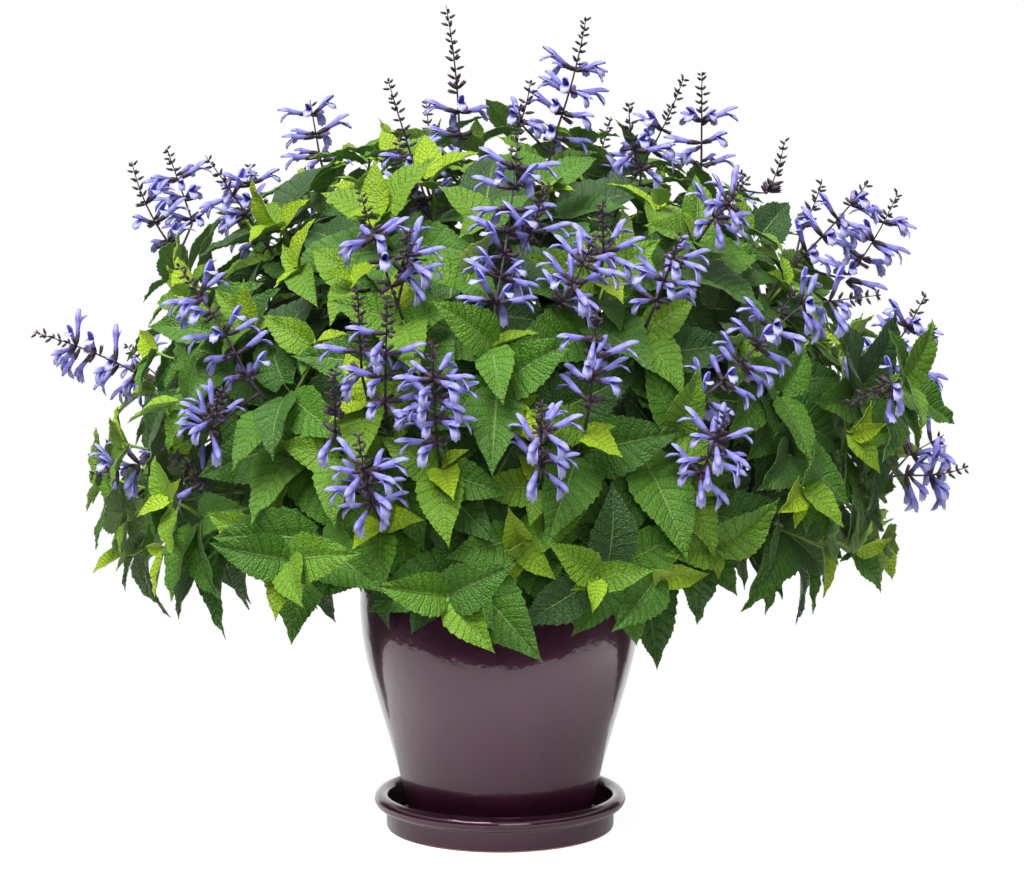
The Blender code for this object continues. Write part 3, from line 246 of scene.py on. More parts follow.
# %% The racemes, read off the front view and guessed at the back
# Racemes as the front view shows them, in millimetres from the foot of the pot's axis: the lowest flower,
# the tip, the depth where it isn't on the crown's front, the share in open flower, and the parent.
RACEMES = [
    ("a", -360, 457, -465, 499, -30, 0.75, ""),
    ("b", -335, 376, -412, 356, -120, 0.7, ""),
    ("b2", -295, 348, -337, 386, -190, 0.4, "b"),
    ("c1", -328, 586, -365, 668, 30, 0.6, ""),
    ("c2", -250, 451, -322, 568, None, 0.75, ""),
    ("d", -305, 608, -330, 681, 70, 0.7, "c1"),
    ("e", -238, 594, -292, 674, -70, 0.7, ""),
    ("g", -242, 621, -248, 666, -20, 0.7, "e"),
    ("f", -178, 670, -188, 729, 20, 0.8, ""),
    ("h", -72, 626, -110, 746, -110, 0.5, ""),
    ("i", -92, 636, -100, 686, -190, 0.5, "h"),
    ("j", -40, 690, -53, 821, -80, 0.3, ""),
    ("m", 53, 690, 85, 808, -90, 0.6, ""),
    ("k", 20, 706, 30, 746, -110, 0.4, "m"),
    ("l", -5, 526, 20, 721, None, 0.8, ""),
    ("n", 30, 596, 45, 646, None, 0.4, "l"),
    ("o1", 103, 576, 102, 631, None, 0.4, ""),
    ("o2", 60, 526, 92, 591, None, 0.7, "o1"),
    ("nn", 140, 656, 128, 726, -60, 0.5, ""),
    ("p", 125, 640, 182, 751, -60, 0.7, ""),
    ("q", 200, 661, 200, 756, 20, 0.5, ""),
    ("r", 265, 636, 282, 686, 60, 0.0, "q"),
    ("s", 212, 611, 245, 651, None, 0.7, ""),
    ("u", 303, 576, 366, 648, -60, 0.75, ""),
    ("t", 300, 601, 320, 651, -10, 0.0, "u"),
    ("v", 345, 551, 395, 636, -20, 0.75, "u"),
    ("w", 378, 466, 425, 538, -60, 0.6, ""),
    ("x", 393, 441, 435, 506, -110, 0.6, ""),
    ("y", 405, 356, 470, 364, -70, 0.7, ""),
    ("y2", 410, 376, 445, 396, 10, 0.7, "y"),
    ("z", 395, 448, 350, 426, -230, 0.3, ""),
    ("aa", 200, 431, 295, 544, None, 0.75, ""),
    ("aa2", 300, 526, 380, 536, -250, 0.6, "aa"),
    ("bb", 155, 526, 180, 594, None, 0.7, ""),
    ("cc", 90, 426, 97, 521, None, 0.8, ""),
    ("dd", 40, 366, 42, 429, None, 0.7, ""),
    ("ee", 200, 356, 227, 421, None, 0.7, ""),
    ("ff", -138, 456, -142, 546, None, 0.5, ""),
    ("gg", -63, 386, -68, 491, None, 0.7, ""),
    ("hh", -115, 426, -112, 536, None, 0.8, ""),
    ("ii", -107, 541, -138, 636, None, 0.7, ""),
    ("jj", -95, 556, -92, 600, None, 0.6, "ii"),
    ("kk", -165, 396, -165, 461, None, 0.1, ""),
    ("ll", -128, 326, -142, 396, None, 0.6, ""),
    ("mm", -290, 401, -275, 441, None, 0.4, "c2"),
]

# Racemes at the back, which the front view hides: the lowest flower and the tip in millimetres, the share
# in open flower and the parent.
BACK_RACEMES = [
    ("b_a", (-250, 240, 470), (-300, 295, 560), 0.7, ""),
    ("b_b", (-120, 310, 490), (-140, 360, 590), 0.7, ""),
    ("b_c", (20, 335, 500), (25, 370, 620), 0.7, ""),
    ("b_d", (150, 300, 470), (185, 350, 560), 0.6, ""),
    ("b_e", (270, 220, 490), (320, 270, 580), 0.7, ""),
    ("b_f", (-325, 130, 420), (-400, 165, 480), 0.7, ""),
    ("b_g", (350, 130, 420), (420, 165, 470), 0.7, ""),
    ("b_h", (-70, 200, 650), (-80, 225, 745), 0.5, ""),
    ("b_i", (100, 190, 640), (120, 215, 725), 0.6, ""),
    ("b_j", (-190, 190, 590), (-215, 230, 670), 0.6, ""),
    ("b_k", (230, 150, 590), (260, 190, 665), 0.6, ""),
    ("b_l", (50, 350, 370), (60, 420, 400), 0.6, ""),
    ("b_m", (-190, 310, 370), (-230, 375, 410), 0.6, ""),
    ("b_n", (230, 300, 370), (275, 360, 400), 0.6, ""),
]
print("racemes in front", len(RACEMES), "and at the back", len(BACK_RACEMES))

# %% Places, curves and directions
def sight(across, up, depth):
    """The point at this depth that the front view shows at across and up in the plane of the axis."""
    nearer = 1 + depth / EYE_DISTANCE
    return Vector((across * nearer, depth, EYE_HEIGHT + (up - EYE_HEIGHT) * nearer))


def crown_depth(across, up, share):
    """The depth of the crown's front at this place of the front view, for a crown grown by this share."""
    tall = CROWN_ABOVE if up > CROWN_MIDDLE else CROWN_BELOW
    level = 1 - abs((up - CROWN_MIDDLE) / (tall * share)) ** CROWN_SQUARENESS
    level = max(level, 0.0) ** (1 / CROWN_SHOULDER)
    inside = level - (across / (CROWN_HALF_WIDTH * share)) ** 2
    return -CROWN_HALF_DEPTH * share * math.sqrt(max(inside, 0.0))


def outward_normal(point):
    """Which way the crown's surface faces at this point, never more than a little downwards."""
    tall = CROWN_ABOVE if point.z > CROWN_MIDDLE else CROWN_BELOW
    facing = Vector((point.x / CROWN_HALF_WIDTH ** 2, point.y / CROWN_HALF_DEPTH ** 2,
                     (point.z - CROWN_MIDDLE) / tall ** 2)).normalized()
    facing.z = max(facing.z, LEAST_UPWARD)
    return facing.normalized()


def bezier(ends, share):
    a, b, c, d = ends
    back = 1 - share
    return a * back ** 3 + b * 3 * back ** 2 * share + c * 3 * back * share ** 2 + d * share ** 3


def bezier_heading(ends, share):
    a, b, c, d = ends
    back = 1 - share
    return ((b - a) * back ** 2 + (c - b) * 2 * back * share + (d - c) * share ** 2).normalized()


def bezier_length(ends, steps=12):
    places = [bezier(ends, k / steps) for k in range(steps + 1)]
    return sum((q - p).length for p, q in zip(places, places[1:]))


def across_of(heading, hint):
    """A unit vector square to heading, as near to hint as can be."""
    side = hint - heading * hint.dot(heading)
    if side.length < 1e-4:
        side = heading.orthogonal()
    return side.normalized()


# %% A coarse stalk, as points and faces for the test of room
def tube_shape(places, radii, sides=3, twists=None, arrive=None):
    """A tapered loft along a bent line. Twists turn the rings, and arrive is the last one's heading."""
    points = []
    side = across_of((places[1] - places[0]).normalized(), Vector((0.3, 0.2, 1)))
    for k, place in enumerate(places):
        ahead = places[min(k + 1, len(places) - 1)] - places[max(k - 1, 0)]
        if arrive and k == len(places) - 1:
            ahead = arrive
        ahead = ahead.normalized()
        side = across_of(ahead, side)
        other = ahead.cross(side)
        for turn in range(sides):
            angle = math.tau * (turn / sides + (twists[k] if twists else 0.0))
            points.append(place + (side * math.cos(angle) + other * math.sin(angle)) * radii[k])
    faces = [tuple(reversed(range(sides)))]
    for k in range(len(places) - 1):
        for turn in range(sides):
            a = k * sides + turn
            b = k * sides + (turn + 1) % sides
            faces.append((a, b, b + sides, a + sides))
    faces.append(tuple(range((len(places) - 1) * sides, len(places) * sides)))
    return points, faces


# %% A coarse leaf
def blade_width(share):
    """The half width of an ovate leaf with a long tip, as a share of its widest."""
    return 2.564 * share ** 0.42 * (1 - share) ** 1.25


class Leaf:
    """A leaf: root on the shoot, petiole to the blade's base, and an arched, folded blade."""

    def __init__(self, root, axis, normal, length, petiole, droop, fold):
        self.root = root
        self.axis = axis
        self.normal = across_of(axis, normal)
        self.side = axis.cross(self.normal)
        self.length = length
        self.half_width = length * LEAF_WIDTH_SHARE / 2
        self.droop = droop
        self.fold = fold
        self.base = root + (axis * PETIOLE_OUT + self.normal * PETIOLE_UP).normalized() * petiole

    def on_blade(self, along, across, above):
        """The point at this share of the length, this far from the rib and this high above the blade."""
        bend = self.droop * along
        reach = self.length * math.sin(bend) / self.droop
        sink = self.length * (1 - math.cos(bend)) / self.droop
        middle = self.base + self.axis * reach - self.normal * sink
        up = self.normal * math.cos(bend) + self.axis * math.sin(bend)
        lift = abs(across) * math.sin(self.fold) + above
        return middle + self.side * (across * math.cos(self.fold)) + up * lift

    def rows(self):
        """The right and left edge, the tip, and the rib's upper and lower side, from the petiole on."""
        edges = []
        for way in (1, -1):
            edge = []
            for k, along in enumerate(EDGE_PLACES):
                wide = self.half_width * blade_width(along) * (NOTCH if k in EDGE_NOTCHES else 1.0)
                wide = max(wide, PETIOLE_HALF_WIDTH)
                edge.append(self.on_blade(along, way * wide, 0))
            edges.append(edge)
        ribs = []
        for way in (1, -1):
            ribs.append([self.on_blade(along, 0, way * BLADE_HALF_THICKNESS * (1.3 - along * 0.5))
                         for along in RIB_PLACES])
        return edges[0], edges[1], self.on_blade(1.0, 0, 0), ribs[0], ribs[1]

    def shape(self, start):
        """The blade with its petiole from this share of it on, for the test of room."""
        right, left, tip, above, below = self.rows()
        points = [self.root.lerp(self.base, start)] + right + left + [tip] + above + below
        rows = len(right)
        rim = {1: [1 + k for k in range(rows)], -1: [1 + rows + k for k in range(rows)]}
        last = 1 + 2 * rows
        middle = {1: [last + 1 + k for k in range(len(above))],
                  -1: [last + 1 + len(above) + k for k in range(len(above))]}
        faces = []
        for way in (1, -1):
            for face in (1, -1):
                faces += blade_strip(rim[way] + [last], middle[face], way * face)
                root = (0, rim[way][0], middle[face][0])
                faces.append(root if way * face > 0 else root[::-1])
        return points, faces


def blade_strip(rim, middle, way):
    """Triangles between the toothed edge and the rib, stepping along whichever row is behind."""
    rim_places = EDGE_PLACES + [1.0]
    faces = []
    i = 0
    j = 0
    while i < len(rim) - 1 or j < len(middle) - 1:
        rib_done = j == len(middle) - 1
        if rib_done or (i < len(rim) - 1 and rim_places[i + 1] <= RIB_PLACES[j + 1] + 0.06):
            corner = (rim[i], rim[i + 1], middle[j])
            i += 1
        else:
            corner = (rim[i], middle[j + 1], middle[j])
            j += 1
        faces.append(corner if way > 0 else corner[::-1])
    return faces


# %% Coarse flowers and buds
def root_corners(root, heading, up, start):
    """The four corners that a flower is pulled from, moved this far out from the stalk."""
    side = heading.cross(up)
    tall = WHORL_HALF * (1 - start / CALYX_LENGTH)
    wide = STALK_RADIUS * 0.7
    middle = root + heading * start
    return [middle + up * tall, middle + side * wide, middle - up * tall, middle - side * wide]


def floret_shape(root, heading, up, size, start=0.0):
    """A two-lipped flower: calyx and tube open to a throat, the hood runs on and the lip hangs."""
    side = heading.cross(up)
    throat = root + heading * (FLORET_THROAT * size)
    half = FLORET_THROAT_HALF * size
    points = root_corners(root, heading, up, start) + [
        throat + up * half,
        throat + side * half,
        throat - up * half,
        throat - side * half,
        root + heading * (FLORET_HOOD * size) + up * (FLORET_HOOD_RISE * size),
        root + heading * (FLORET_LIP * size) - up * (FLORET_LIP_DROP * size),
    ]
    tube = [(3, 2, 1, 0), (0, 1, 5, 4), (1, 2, 6, 5), (2, 3, 7, 6), (3, 0, 4, 7)]
    lips = [(4, 5, 8), (7, 4, 8), (5, 7, 8), (5, 9, 7), (5, 6, 9), (6, 7, 9)]
    return points, tube + lips


def bud_shape(root, heading, up, length, start=0.0):
    """A closed bud in its calyx, as a spike."""
    points = root_corners(root, heading, up, start) + [root + heading * length]
    return points, [(3, 2, 1, 0), (0, 1, 4), (1, 2, 4), (2, 3, 4), (3, 0, 4)]


# %% [markdown]
# ## Room for everything
# On the real plant leaves and flowers push each other aside. A cloth or rigid body simulation could do that,
# but it would be slow and would fall out differently each time. Here each new piece is tested against all
# the kept ones instead, with Blender's own search tree for triangles, and is moved or left off where it
# would touch.

# %% The test of room
MOST_PIECES = 6000


class Room:
    """Keeps what is grown and says whether a new piece is clear of every other node."""

    def __init__(self):
        self.kept = []
        self.lows = np.empty((MOST_PIECES, 3))
        self.highs = np.empty((MOST_PIECES, 3))

    def tree_of(self, shape, swell):
        points, faces = shape
        pushes = [Vector() for _ in points]
        for face in faces:
            a, b, c = (points[i] for i in face[:3])
            square = (b - a).cross(c - a)
            for i in face:
                pushes[i] += square
        swollen = [p + push.normalized() * swell for p, push in zip(points, pushes)]
        low = Vector([min(p[i] for p in swollen) for i in range(3)])
        high = Vector([max(p[i] for p in swollen) for i in range(3)])
        return BVHTree.FromPolygons(swollen, faces), low, high

    def near(self, low, high):
        count = len(self.kept)
        meets = (self.lows[:count] <= np.array(high)) & (self.highs[:count] >= np.array(low))
        return np.nonzero(meets.all(axis=1))[0]

    def clear(self, node, kind, own, whole, skip=-1):
        """Tests own, which leaves out the root, inside the node and whole against every other node.

        Stalks of one node may meet, because they branch from each other. Nothing else may touch.
        """
        for (tree, low, high), inside in ((own, True), (whole, False)):
            for i in self.near(low, high):
                other, other_kind, other_tree = self.kept[i]
                if (other == node) != inside or i == skip:
                    continue
                if inside and kind == "stalk" and other_kind == "stalk":
                    continue
                if tree.overlap(other_tree):
                    return False
        return True

    def add(self, node, kind, shape):
        tree, low, high = self.tree_of(shape, 0.0)
        self.lows[len(self.kept)] = low
        self.highs[len(self.kept)] = high
        self.kept.append((node, kind, tree))

    def take(self, node, kind, rootless, shape):
        """Keeps the shape and says so if it's clear."""
        swollen = self.tree_of(rootless, CLEARANCE), self.tree_of(shape, CLEARANCE)
        if not self.clear(node, kind, *swollen):
            return False
        self.add(node, kind, shape)
        return True

    def take_close(self, node, kind, rootless, skip=-1):
        """Keeps what the solids don't have, however near it comes. Its root isn't tested."""
        tested = self.tree_of(rootless, 0.0)
        if not self.clear(node, kind, tested, tested, skip):
            return False
        self.add(node, kind, rootless)
        return True


# %% Racemes
def raceme_rows():
    """Each raceme's name, its ends at a shift in depth, the share in open flower and its parent."""
    for name, x0, z0, x1, z1, depth, bloom, parent in RACEMES:
        if depth is None:
            near = crown_depth(x0 * MM, z0 * MM, RACEME_BASE_SHARE)
            far = crown_depth(x1 * MM, z1 * MM, RACEME_TIP_SHARE)
        else:
            near = depth * MM
            far = near * RACEME_TIP_SHARE
        ends = []
        for shift in SHIFTS:
            ends.append((sight(x0 * MM, z0 * MM, near + shift), sight(x1 * MM, z1 * MM, far + shift)))
        yield name, ends, bloom, parent
    for name, base, tip, bloom, parent in BACK_RACEMES:
        aside = Vector((0, 1, 0))
        ends = [(Vector(base) * MM + aside * shift, Vector(tip) * MM + aside * shift) for shift in SHIFTS]
        yield name, ends, bloom, parent


def stalk_point(spray, share):
    """A point of the flowering part of the stalk, from 0 at the lowest flower to 1 at the tip."""
    back = 1 - share
    return spray["base"] * back ** 2 + spray["bend"] * 2 * back * share + spray["tip"] * share ** 2


def stalk_heading(spray, share):
    heading = (spray["bend"] - spray["base"]) * (1 - share) + (spray["tip"] - spray["bend"]) * share
    return heading.normalized()


def whorl_shares(spray):
    """The shares of the stalk at which whorls sit, closer together upwards, as far as flowers are open."""
    length = (spray["tip"] - spray["base"]).length
    last = max(spray["bloom"], WHORLS_TO_AT_LEAST)
    shares = []
    share = WHORL_HALF / length * 1.2
    while share < last:
        shares.append(share)
        share += (WHORL_STEP + (WHORL_STEP_AT_TIP - WHORL_STEP) * share) / length
    return shares


def stalk_rings(spray):
    """The stalk's rings, with a pair at each whorl, and the slim spike of closed buds above them."""
    half = WHORL_HALF / (spray["tip"] - spray["base"]).length
    places = [spray["foot"]]
    radii = [STALK_RADIUS]
    twists = [0.0]
    shares = whorl_shares(spray)
    for count, share in enumerate(shares):
        for way in (-1, 1):
            places.append(stalk_point(spray, share + way * half))
            radii.append(STALK_RADIUS * (1 - STALK_TAPER * share))
            twists.append(count * WHORL_TWIST)
    spike = 1 - shares[-1] - half
    for along, full in BUD_SPIKE_ROWS:
        places.append(stalk_point(spray, shares[-1] + half + spike * along))
        radii.append(BUD_SPIKE_RADIUS * full)
        twists.append(twists[-1])
    return places, radii, twists


def raceme_from_ends(name, ends, bloom, parent, home):
    """A bent stalk through the raceme's ends, on its own foot or branching from its parent's stalk."""
    base, tip = ends
    draw = random.Random("raceme " + name)
    rise = (tip - base).normalized()
    if parent:
        foot = home["foot"].lerp(home["base"], BRANCHING_SHARE)
    else:
        inward = (base - Vector((0, 0, HEADING_HEIGHT))).normalized()
        foot = base - (rise * PEDUNCLE_RISE + inward * (1 - PEDUNCLE_RISE)).normalized() * PEDUNCLE
    sag = across_of(rise, Vector((0, 0, -1))) * ((tip - base).length * draw.uniform(*STALK_SAG))
    spray = {"name": name, "foot": foot, "base": base, "tip": tip, "bend": (base + tip) / 2 + sag,
             "bloom": bloom, "parent": parent, "florets": [], "buds": []}
    spray["rings"], spray["radii"], spray["twists"] = stalk_rings(spray)
    return spray


def grow_racemes(room):
    """The stalks and their whorls of flowers and buds, each raceme or branched group as one node."""
    sprays = {}
    nodes = 0
    for name, tries, bloom, parent in raceme_rows():
        if parent:
            node = sprays[parent]["node"]
        else:
            nodes += 1
            node = "flower_spray_%02d" % nodes
        for ends in tries:
            spray = raceme_from_ends(name, ends, bloom, parent, sprays.get(parent))
            stalk = tube_shape(spray["rings"], spray["radii"], STALK_SIDES, spray["twists"])
            found = room.tree_of(stalk, FLOWER_ROOM)
            if room.clear(node, "stalk", found, found):
                break
        else:
            print("raceme", name, "crosses another")
        spray["node"] = node
        sprays[name] = spray
        room.add(node, "stalk", stalk)
    for spray in sprays.values():
        grow_whorls(spray, room)
    return sprays


def whorl_members(spray):
    """A flower or bud on each side of the stalk at every whorl."""
    draw = random.Random("whorl " + spray["name"])
    points, _ = tube_shape(spray["rings"], spray["radii"], STALK_SIDES, spray["twists"])
    members = []
    for count, share in enumerate(whorl_shares(spray)):
        rise = stalk_heading(spray, share)
        root = stalk_point(spray, share)
        ring = points[(1 + 2 * count) * STALK_SIDES:(3 + 2 * count) * STALK_SIDES]
        for way in range(STALK_SIDES):
            after = (way + 1) % STALK_SIDES
            corners = [ring[way], ring[after], ring[way + STALK_SIDES], ring[after + STALK_SIDES]]
            out = across_of(rise, sum(corners, Vector()) / 4 - root)
            flowering = share < spray["bloom"]
            is_open = flowering and draw.random() < OPEN_CHANCE
            climb = draw.uniform(*(FLOWER_CLIMB if flowering else BUD_CLIMB))
            heading = out + rise * climb - Vector((0, 0, FLOWER_HANG if flowering else 0.0))
            heading.normalize()
            members.append({
                "count": count, "way": way, "open": is_open, "root": root, "heading": heading,
                "up": across_of(heading, Vector((0, 0, 1))), "size": draw.uniform(*FLOWER_SIZES),
                "length": CALYX_LENGTH + (BUD_LENGTH_AT_TIP - CALYX_LENGTH) * share,
            })
    return members


def grow_whorls(spray, room):
    """One open flower a whorl is in the solids, and the others stand as their calyx."""
    for member in whorl_members(spray):
        place = (member["root"], member["heading"], member["up"])
        if member["open"] and (member["count"] + member["way"]) % STALK_SIDES == 0:
            rootless = floret_shape(*place, member["size"], UNTESTED_FLOWER_ROOT)
            if room.take(spray["node"], "flower", rootless, floret_shape(*place, member["size"])):
                spray["florets"].append(member)
                continue
        rootless = bud_shape(*place, member["length"], UNTESTED_BUD_ROOT)
        if room.take(spray["node"], "flower", rootless, bud_shape(*place, member["length"])):
            member["kept"] = len(room.kept) - 1
            spray["buds"].append(member)


# %% Where stems start and how they run
def stem_names():
    return ["leafy_stem_%02d" % (k + 1) for k in range(len(STEM_HEADINGS))]


def heading_vector(azimuth, elevation):
    turn = math.radians(azimuth)
    rise = math.radians(elevation)
    return Vector((math.cos(turn) * math.cos(rise), math.sin(turn) * math.cos(rise), math.sin(rise)))


def stem_feet():
    feet = []
    for k, (azimuth, _) in enumerate(STEM_HEADINGS):
        radius = OUTER_FOOT_RADIUS if k < OUTER_FEET else INNER_FOOT_RADIUS
        turn = math.radians(azimuth)
        feet.append(Vector((math.cos(turn) * radius, math.sin(turn) * radius, SOIL_LEVEL)))
    return feet


def main_route(foot, end, arrive, bow):
    span = (end - foot).length
    rise = foot + Vector((0, 0, span * STRAIGHT_START)) + bow
    return (foot, rise, end - arrive * span * STRAIGHT_END + bow, end)


def side_route(main, at, end, arrive, bow):
    start = bezier(main, at)
    span = (end - start).length
    leave = start + bezier_heading(main, at) * span * STRAIGHT_END + bow
    return (start, leave, end - arrive * span * STRAIGHT_END + bow, end)


def low_route(main, at, end, out, bow):
    start = bezier(main, at)
    span = (end - start).length
    rise = start + Vector((0, 0, LOW_SHOOT_LIFT)) + out * LOW_SHOOT_OUT + bow
    return (start, rise, end - out * span * LOW_SHOOT_END + Vector((0, 0, LOW_SHOOT_HANG)), end)


def bows(reach):
    """Ways to swing a stalk aside, the smallest first."""
    yield Vector()
    for size in BOW_SIZES:
        for turn in range(BOW_TURNS):
            angle = math.tau * turn / BOW_TURNS
            yield Vector((math.cos(angle), math.sin(angle), 0.4 * math.sin(angle * 2))) * (size * reach)


# %% Shoots and stems
def ring_shares(shoot):
    """The shares of a shoot at which its rings sit: even steps, with a pair of rings at each leaf node."""
    half = LEAF_NODE_HALF / bezier_length(shoot["route"])
    nodes = sorted({plan["share"] for plan in shoot["plans"]})
    shares = []
    for step in range(shoot["steps"] + 1):
        share = step / shoot["steps"]
        if step in (0, shoot["steps"]) or all(abs(share - node) > 5 * half for node in nodes):
            shares.append(share)
    return sorted(shares + [node + way * half for node in nodes for way in (-1, 1)])


def shoot_rings(shoot):
    places = [bezier(shoot["route"], share) for share in shoot["shares"]]
    return places, [shoot["radius"] + (STALK_RADIUS - shoot["radius"]) * share for share in shoot["shares"]]


def grow_shoot(room, node, name, kind, radius, steps, routes, arrive):
    """The first of the routes that is clear of every other node, or the first one where none is."""
    best = None
    for route in routes:
        shoot = {"node": node, "name": name, "kind": kind, "route": route, "radius": radius, "steps": steps,
                 "arrive": arrive, "leaves": [], "grown": set()}
        shoot["plans"] = [plan for plan in leaves_of(shoot) if plan["rank"] in SOLID_RANKS]
        shoot["shares"] = ring_shares(shoot)
        places, radii = shoot_rings(shoot)
        shape = tube_shape(places, radii, arrive=arrive)
        found = room.tree_of(shape, STALK_CLEARANCE)
        if room.clear(node, "stalk", found, found):
            room.add(node, "stalk", shape)
            return shoot
        best = best or (shoot, shape)
    shoot, shape = best
    room.add(node, "stalk", shape)
    return shoot


def grow_stems(sprays, room):
    """Each stem reaches the raceme nearest to its heading and sends side shoots to the others near it."""
    headings = [heading_vector(*pair) for pair in STEM_HEADINGS]
    centre = Vector((0, 0, HEADING_HEIGHT))
    names = stem_names()
    ends = {name: [] for name in names}
    for spray in sprays.values():
        if not spray["parent"]:
            toward = (spray["foot"] - centre).normalized()
            best = max(range(len(headings)), key=lambda k: headings[k].dot(toward))
            ends[names[best]].append((-headings[best].dot(toward), spray))
    shoots = []
    mains = {}
    for k, (name, foot) in enumerate(zip(names, stem_feet())):
        ends[name].sort(key=lambda pair: pair[0])
        arrive = headings[k]
        end = foot + arrive * LONE_STEM
        if ends[name]:
            spray = ends[name][0][1]
            arrive = (spray["base"] - spray["foot"]).normalized()
            end = spray["foot"] - arrive * JOINT_GAP
        routes = [main_route(foot, end, arrive, bow) for bow in bows((end - foot).length)]
        shoot = grow_shoot(room, name, name, "main", STEM_RADIUS, STEM_STEPS, routes, arrive)
        mains[name] = shoot["route"]
        shoots.append(shoot)
    waiting = []
    for k, name in enumerate(names):
        main = mains[name]
        for _, spray in ends[name][1:]:
            arrive = (spray["base"] - spray["foot"]).normalized()
            end = spray["foot"] - arrive * JOINT_GAP
            reach = (end - main[3]).length / (main[3] - main[0]).length
            first = min(max(BRANCH_HIGHEST - reach * BRANCH_FALL, BRANCH_LOWEST), BRANCH_HIGHEST)
            waiting.append(((end - main[3]).length, name, spray["name"], "side", end, arrive, first))
    for _, node, name, kind, end, arrive, first in sorted(waiting, key=lambda row: (-row[0], row[2])):
        routes = []
        for bow in bows((end - bezier(mains[node], first)).length):
            for at in (first, first - BRANCH_SHIFT, first + BRANCH_SHIFT):
                routes.append(side_route(mains[node], max(at, NEAREST_BRANCH), end, arrive, bow))
        shoots.append(grow_shoot(room, node, name, kind, SHOOT_RADIUS, SHOOT_STEPS, routes, arrive))
    shoots += fill_shoots(room, shoots, mains, headings)
    for k, name in enumerate(names[:OUTER_FEET]):
        for way in (-1, 1):
            draw = random.Random("low %s %d" % (name, way))
            turn = math.radians(STEM_HEADINGS[k][0] + way * LOW_SHOOT_TURN)
            out = Vector((math.cos(turn), math.sin(turn), 0))
            end = out * (LOW_SHOOT_REACH * draw.uniform(*LOW_SHOOT_REACHES))
            end.z = LOW_SHOOT_HEIGHT + draw.uniform(*LOW_SHOOT_RISES)
            routes = []
            for bow in bows(LOW_SHOOT_BOW):
                for at in LOW_SHOOT_PLACES:
                    routes.append(low_route(mains[name], at, end, out, bow))
            label = "%s low %d" % (name, way)
            shoots.append(grow_shoot(room, name, label, "low", SHOOT_RADIUS, SHOOT_STEPS, routes, out))
    return shoots


# %% Shoots that fill the crown
def crown_place(azimuth, rise):
    """A point just inside the crown's surface, at this azimuth and this sine of the elevation."""
    level = math.sqrt(1 - rise * rise)
    tall = CROWN_ABOVE if rise > 0 else CROWN_BELOW
    x = math.cos(azimuth) * level * CROWN_HALF_WIDTH
    y = math.sin(azimuth) * level * CROWN_HALF_DEPTH
    return Vector((x, y, rise * tall)) * FILL_SHARE + Vector((0, 0, CROWN_MIDDLE))


def fill_shoots(room, shoots, mains, headings):
    """Leafy shoots without flowers, at those of an even spread of places that have no shoot's end near."""
    ends = [shoot["route"][3] for shoot in shoots]
    centre = Vector((0, 0, HEADING_HEIGHT))
    grown = []
    for count in range(FILL_PLACES):
        rise = FILL_LOWEST + (FILL_HIGHEST - FILL_LOWEST) * (count + 0.5) / FILL_PLACES
        end = crown_place(count * GOLDEN_ANGLE, rise)
        if min((end - other).length for other in ends) < FILL_SPREAD:
            continue
        ends.append(end)
        toward = (end - centre).normalized()
        k = max(range(len(headings)), key=lambda k: headings[k].dot(toward))
        node = "leafy_stem_%02d" % (k + 1)
        span = (end - mains[node][3]).length
        first = min(max(FILL_BRANCHES[1] - span, FILL_BRANCHES[0]), FILL_BRANCHES[1])
        routes = []
        for bow in bows(span):
            for at in (first, first - FILL_BRANCH_SHIFT, first + FILL_BRANCH_SHIFT):
                routes.append(side_route(mains[node], at, end, toward, bow))
        label = "fill %d" % count
        grown.append(grow_shoot(room, node, label, "side", SHOOT_RADIUS, SHOOT_STEPS, routes, toward))
    print("shoots that fill the crown", len(grown))
    return grown


# %% Leaves of the solids
def leaves_of(shoot):
    """Three leaves at each node down the shoot from its end: a pair and one from its axil."""
    route = shoot["route"]
    length = bezier_length(route)
    draw = random.Random("leaves " + shoot["name"])
    place = draw.uniform(*FIRST_LEAF) * MM
    found = []
    rank = 0
    while place < length * LEAFY_SHARE and rank < len(LEAF_SIZES):
        share = 1 - place / length
        root = bezier(route, share)
        bare = Vector((root.x / CROWN_HALF_WIDTH, root.y / CROWN_HALF_DEPTH,
                       (root.z - CROWN_MIDDLE) / CROWN_ABOVE)).length < BARE_INSIDE
        if bare:
            break
        heading = bezier_heading(route, share)
        normal = outward_normal(root)
        downhill = across_of(normal, Vector((0, 0, -1)))
        level = normal.cross(downhill)
        for way in (-1, 0, 1):
            aside = draw.uniform(*(ASIDE_YAW if rank % 2 else RAISED_YAW))
            yaw = way * aside + draw.uniform(-YAW_SWING, YAW_SWING)
            size = LEAF_SIZES[rank] * MM * draw.uniform(*LEAF_SIZE_SWING)
            lift = draw.uniform(*LEAF_LIFT) + (YOUNG_LIFT if rank == 0 else 0)
            droop = math.radians(draw.uniform(*LEAF_DROOP))
            fold = math.radians(draw.uniform(*LEAF_FOLD))
            petiole = min(SHORTEST_PETIOLE + PETIOLE_GROWTH * rank, LONGEST_PETIOLE)
            found.append({"root": root, "normal": normal, "downhill": downhill, "level": level, "yaw": yaw,
                          "lift": lift, "size": size, "droop": droop, "fold": fold, "petiole": petiole,
                          "rank": rank, "heading": heading, "share": share, "id": len(found)})
        place += LEAF_STEP * (FIRST_STEP_SHARE if rank == 0 else 1.0) * draw.uniform(*LEAF_STEP_SWING)
        rank += 1
    return found


def leaf_from(plan, yaw, lift, shrink):
    turn = math.radians(plan["yaw"] + yaw)
    rise = math.radians(plan["lift"] + lift)
    flat = plan["downhill"] * math.cos(turn) + plan["level"] * math.sin(turn)
    axis = (flat * math.cos(rise) + plan["normal"] * math.sin(rise)).normalized()
    axis = (axis + plan["heading"] * LEAF_LEAN).normalized()
    return Leaf(plan["root"], axis, plan["normal"], plan["size"] * shrink, plan["petiole"], plan["droop"],
                plan["fold"])


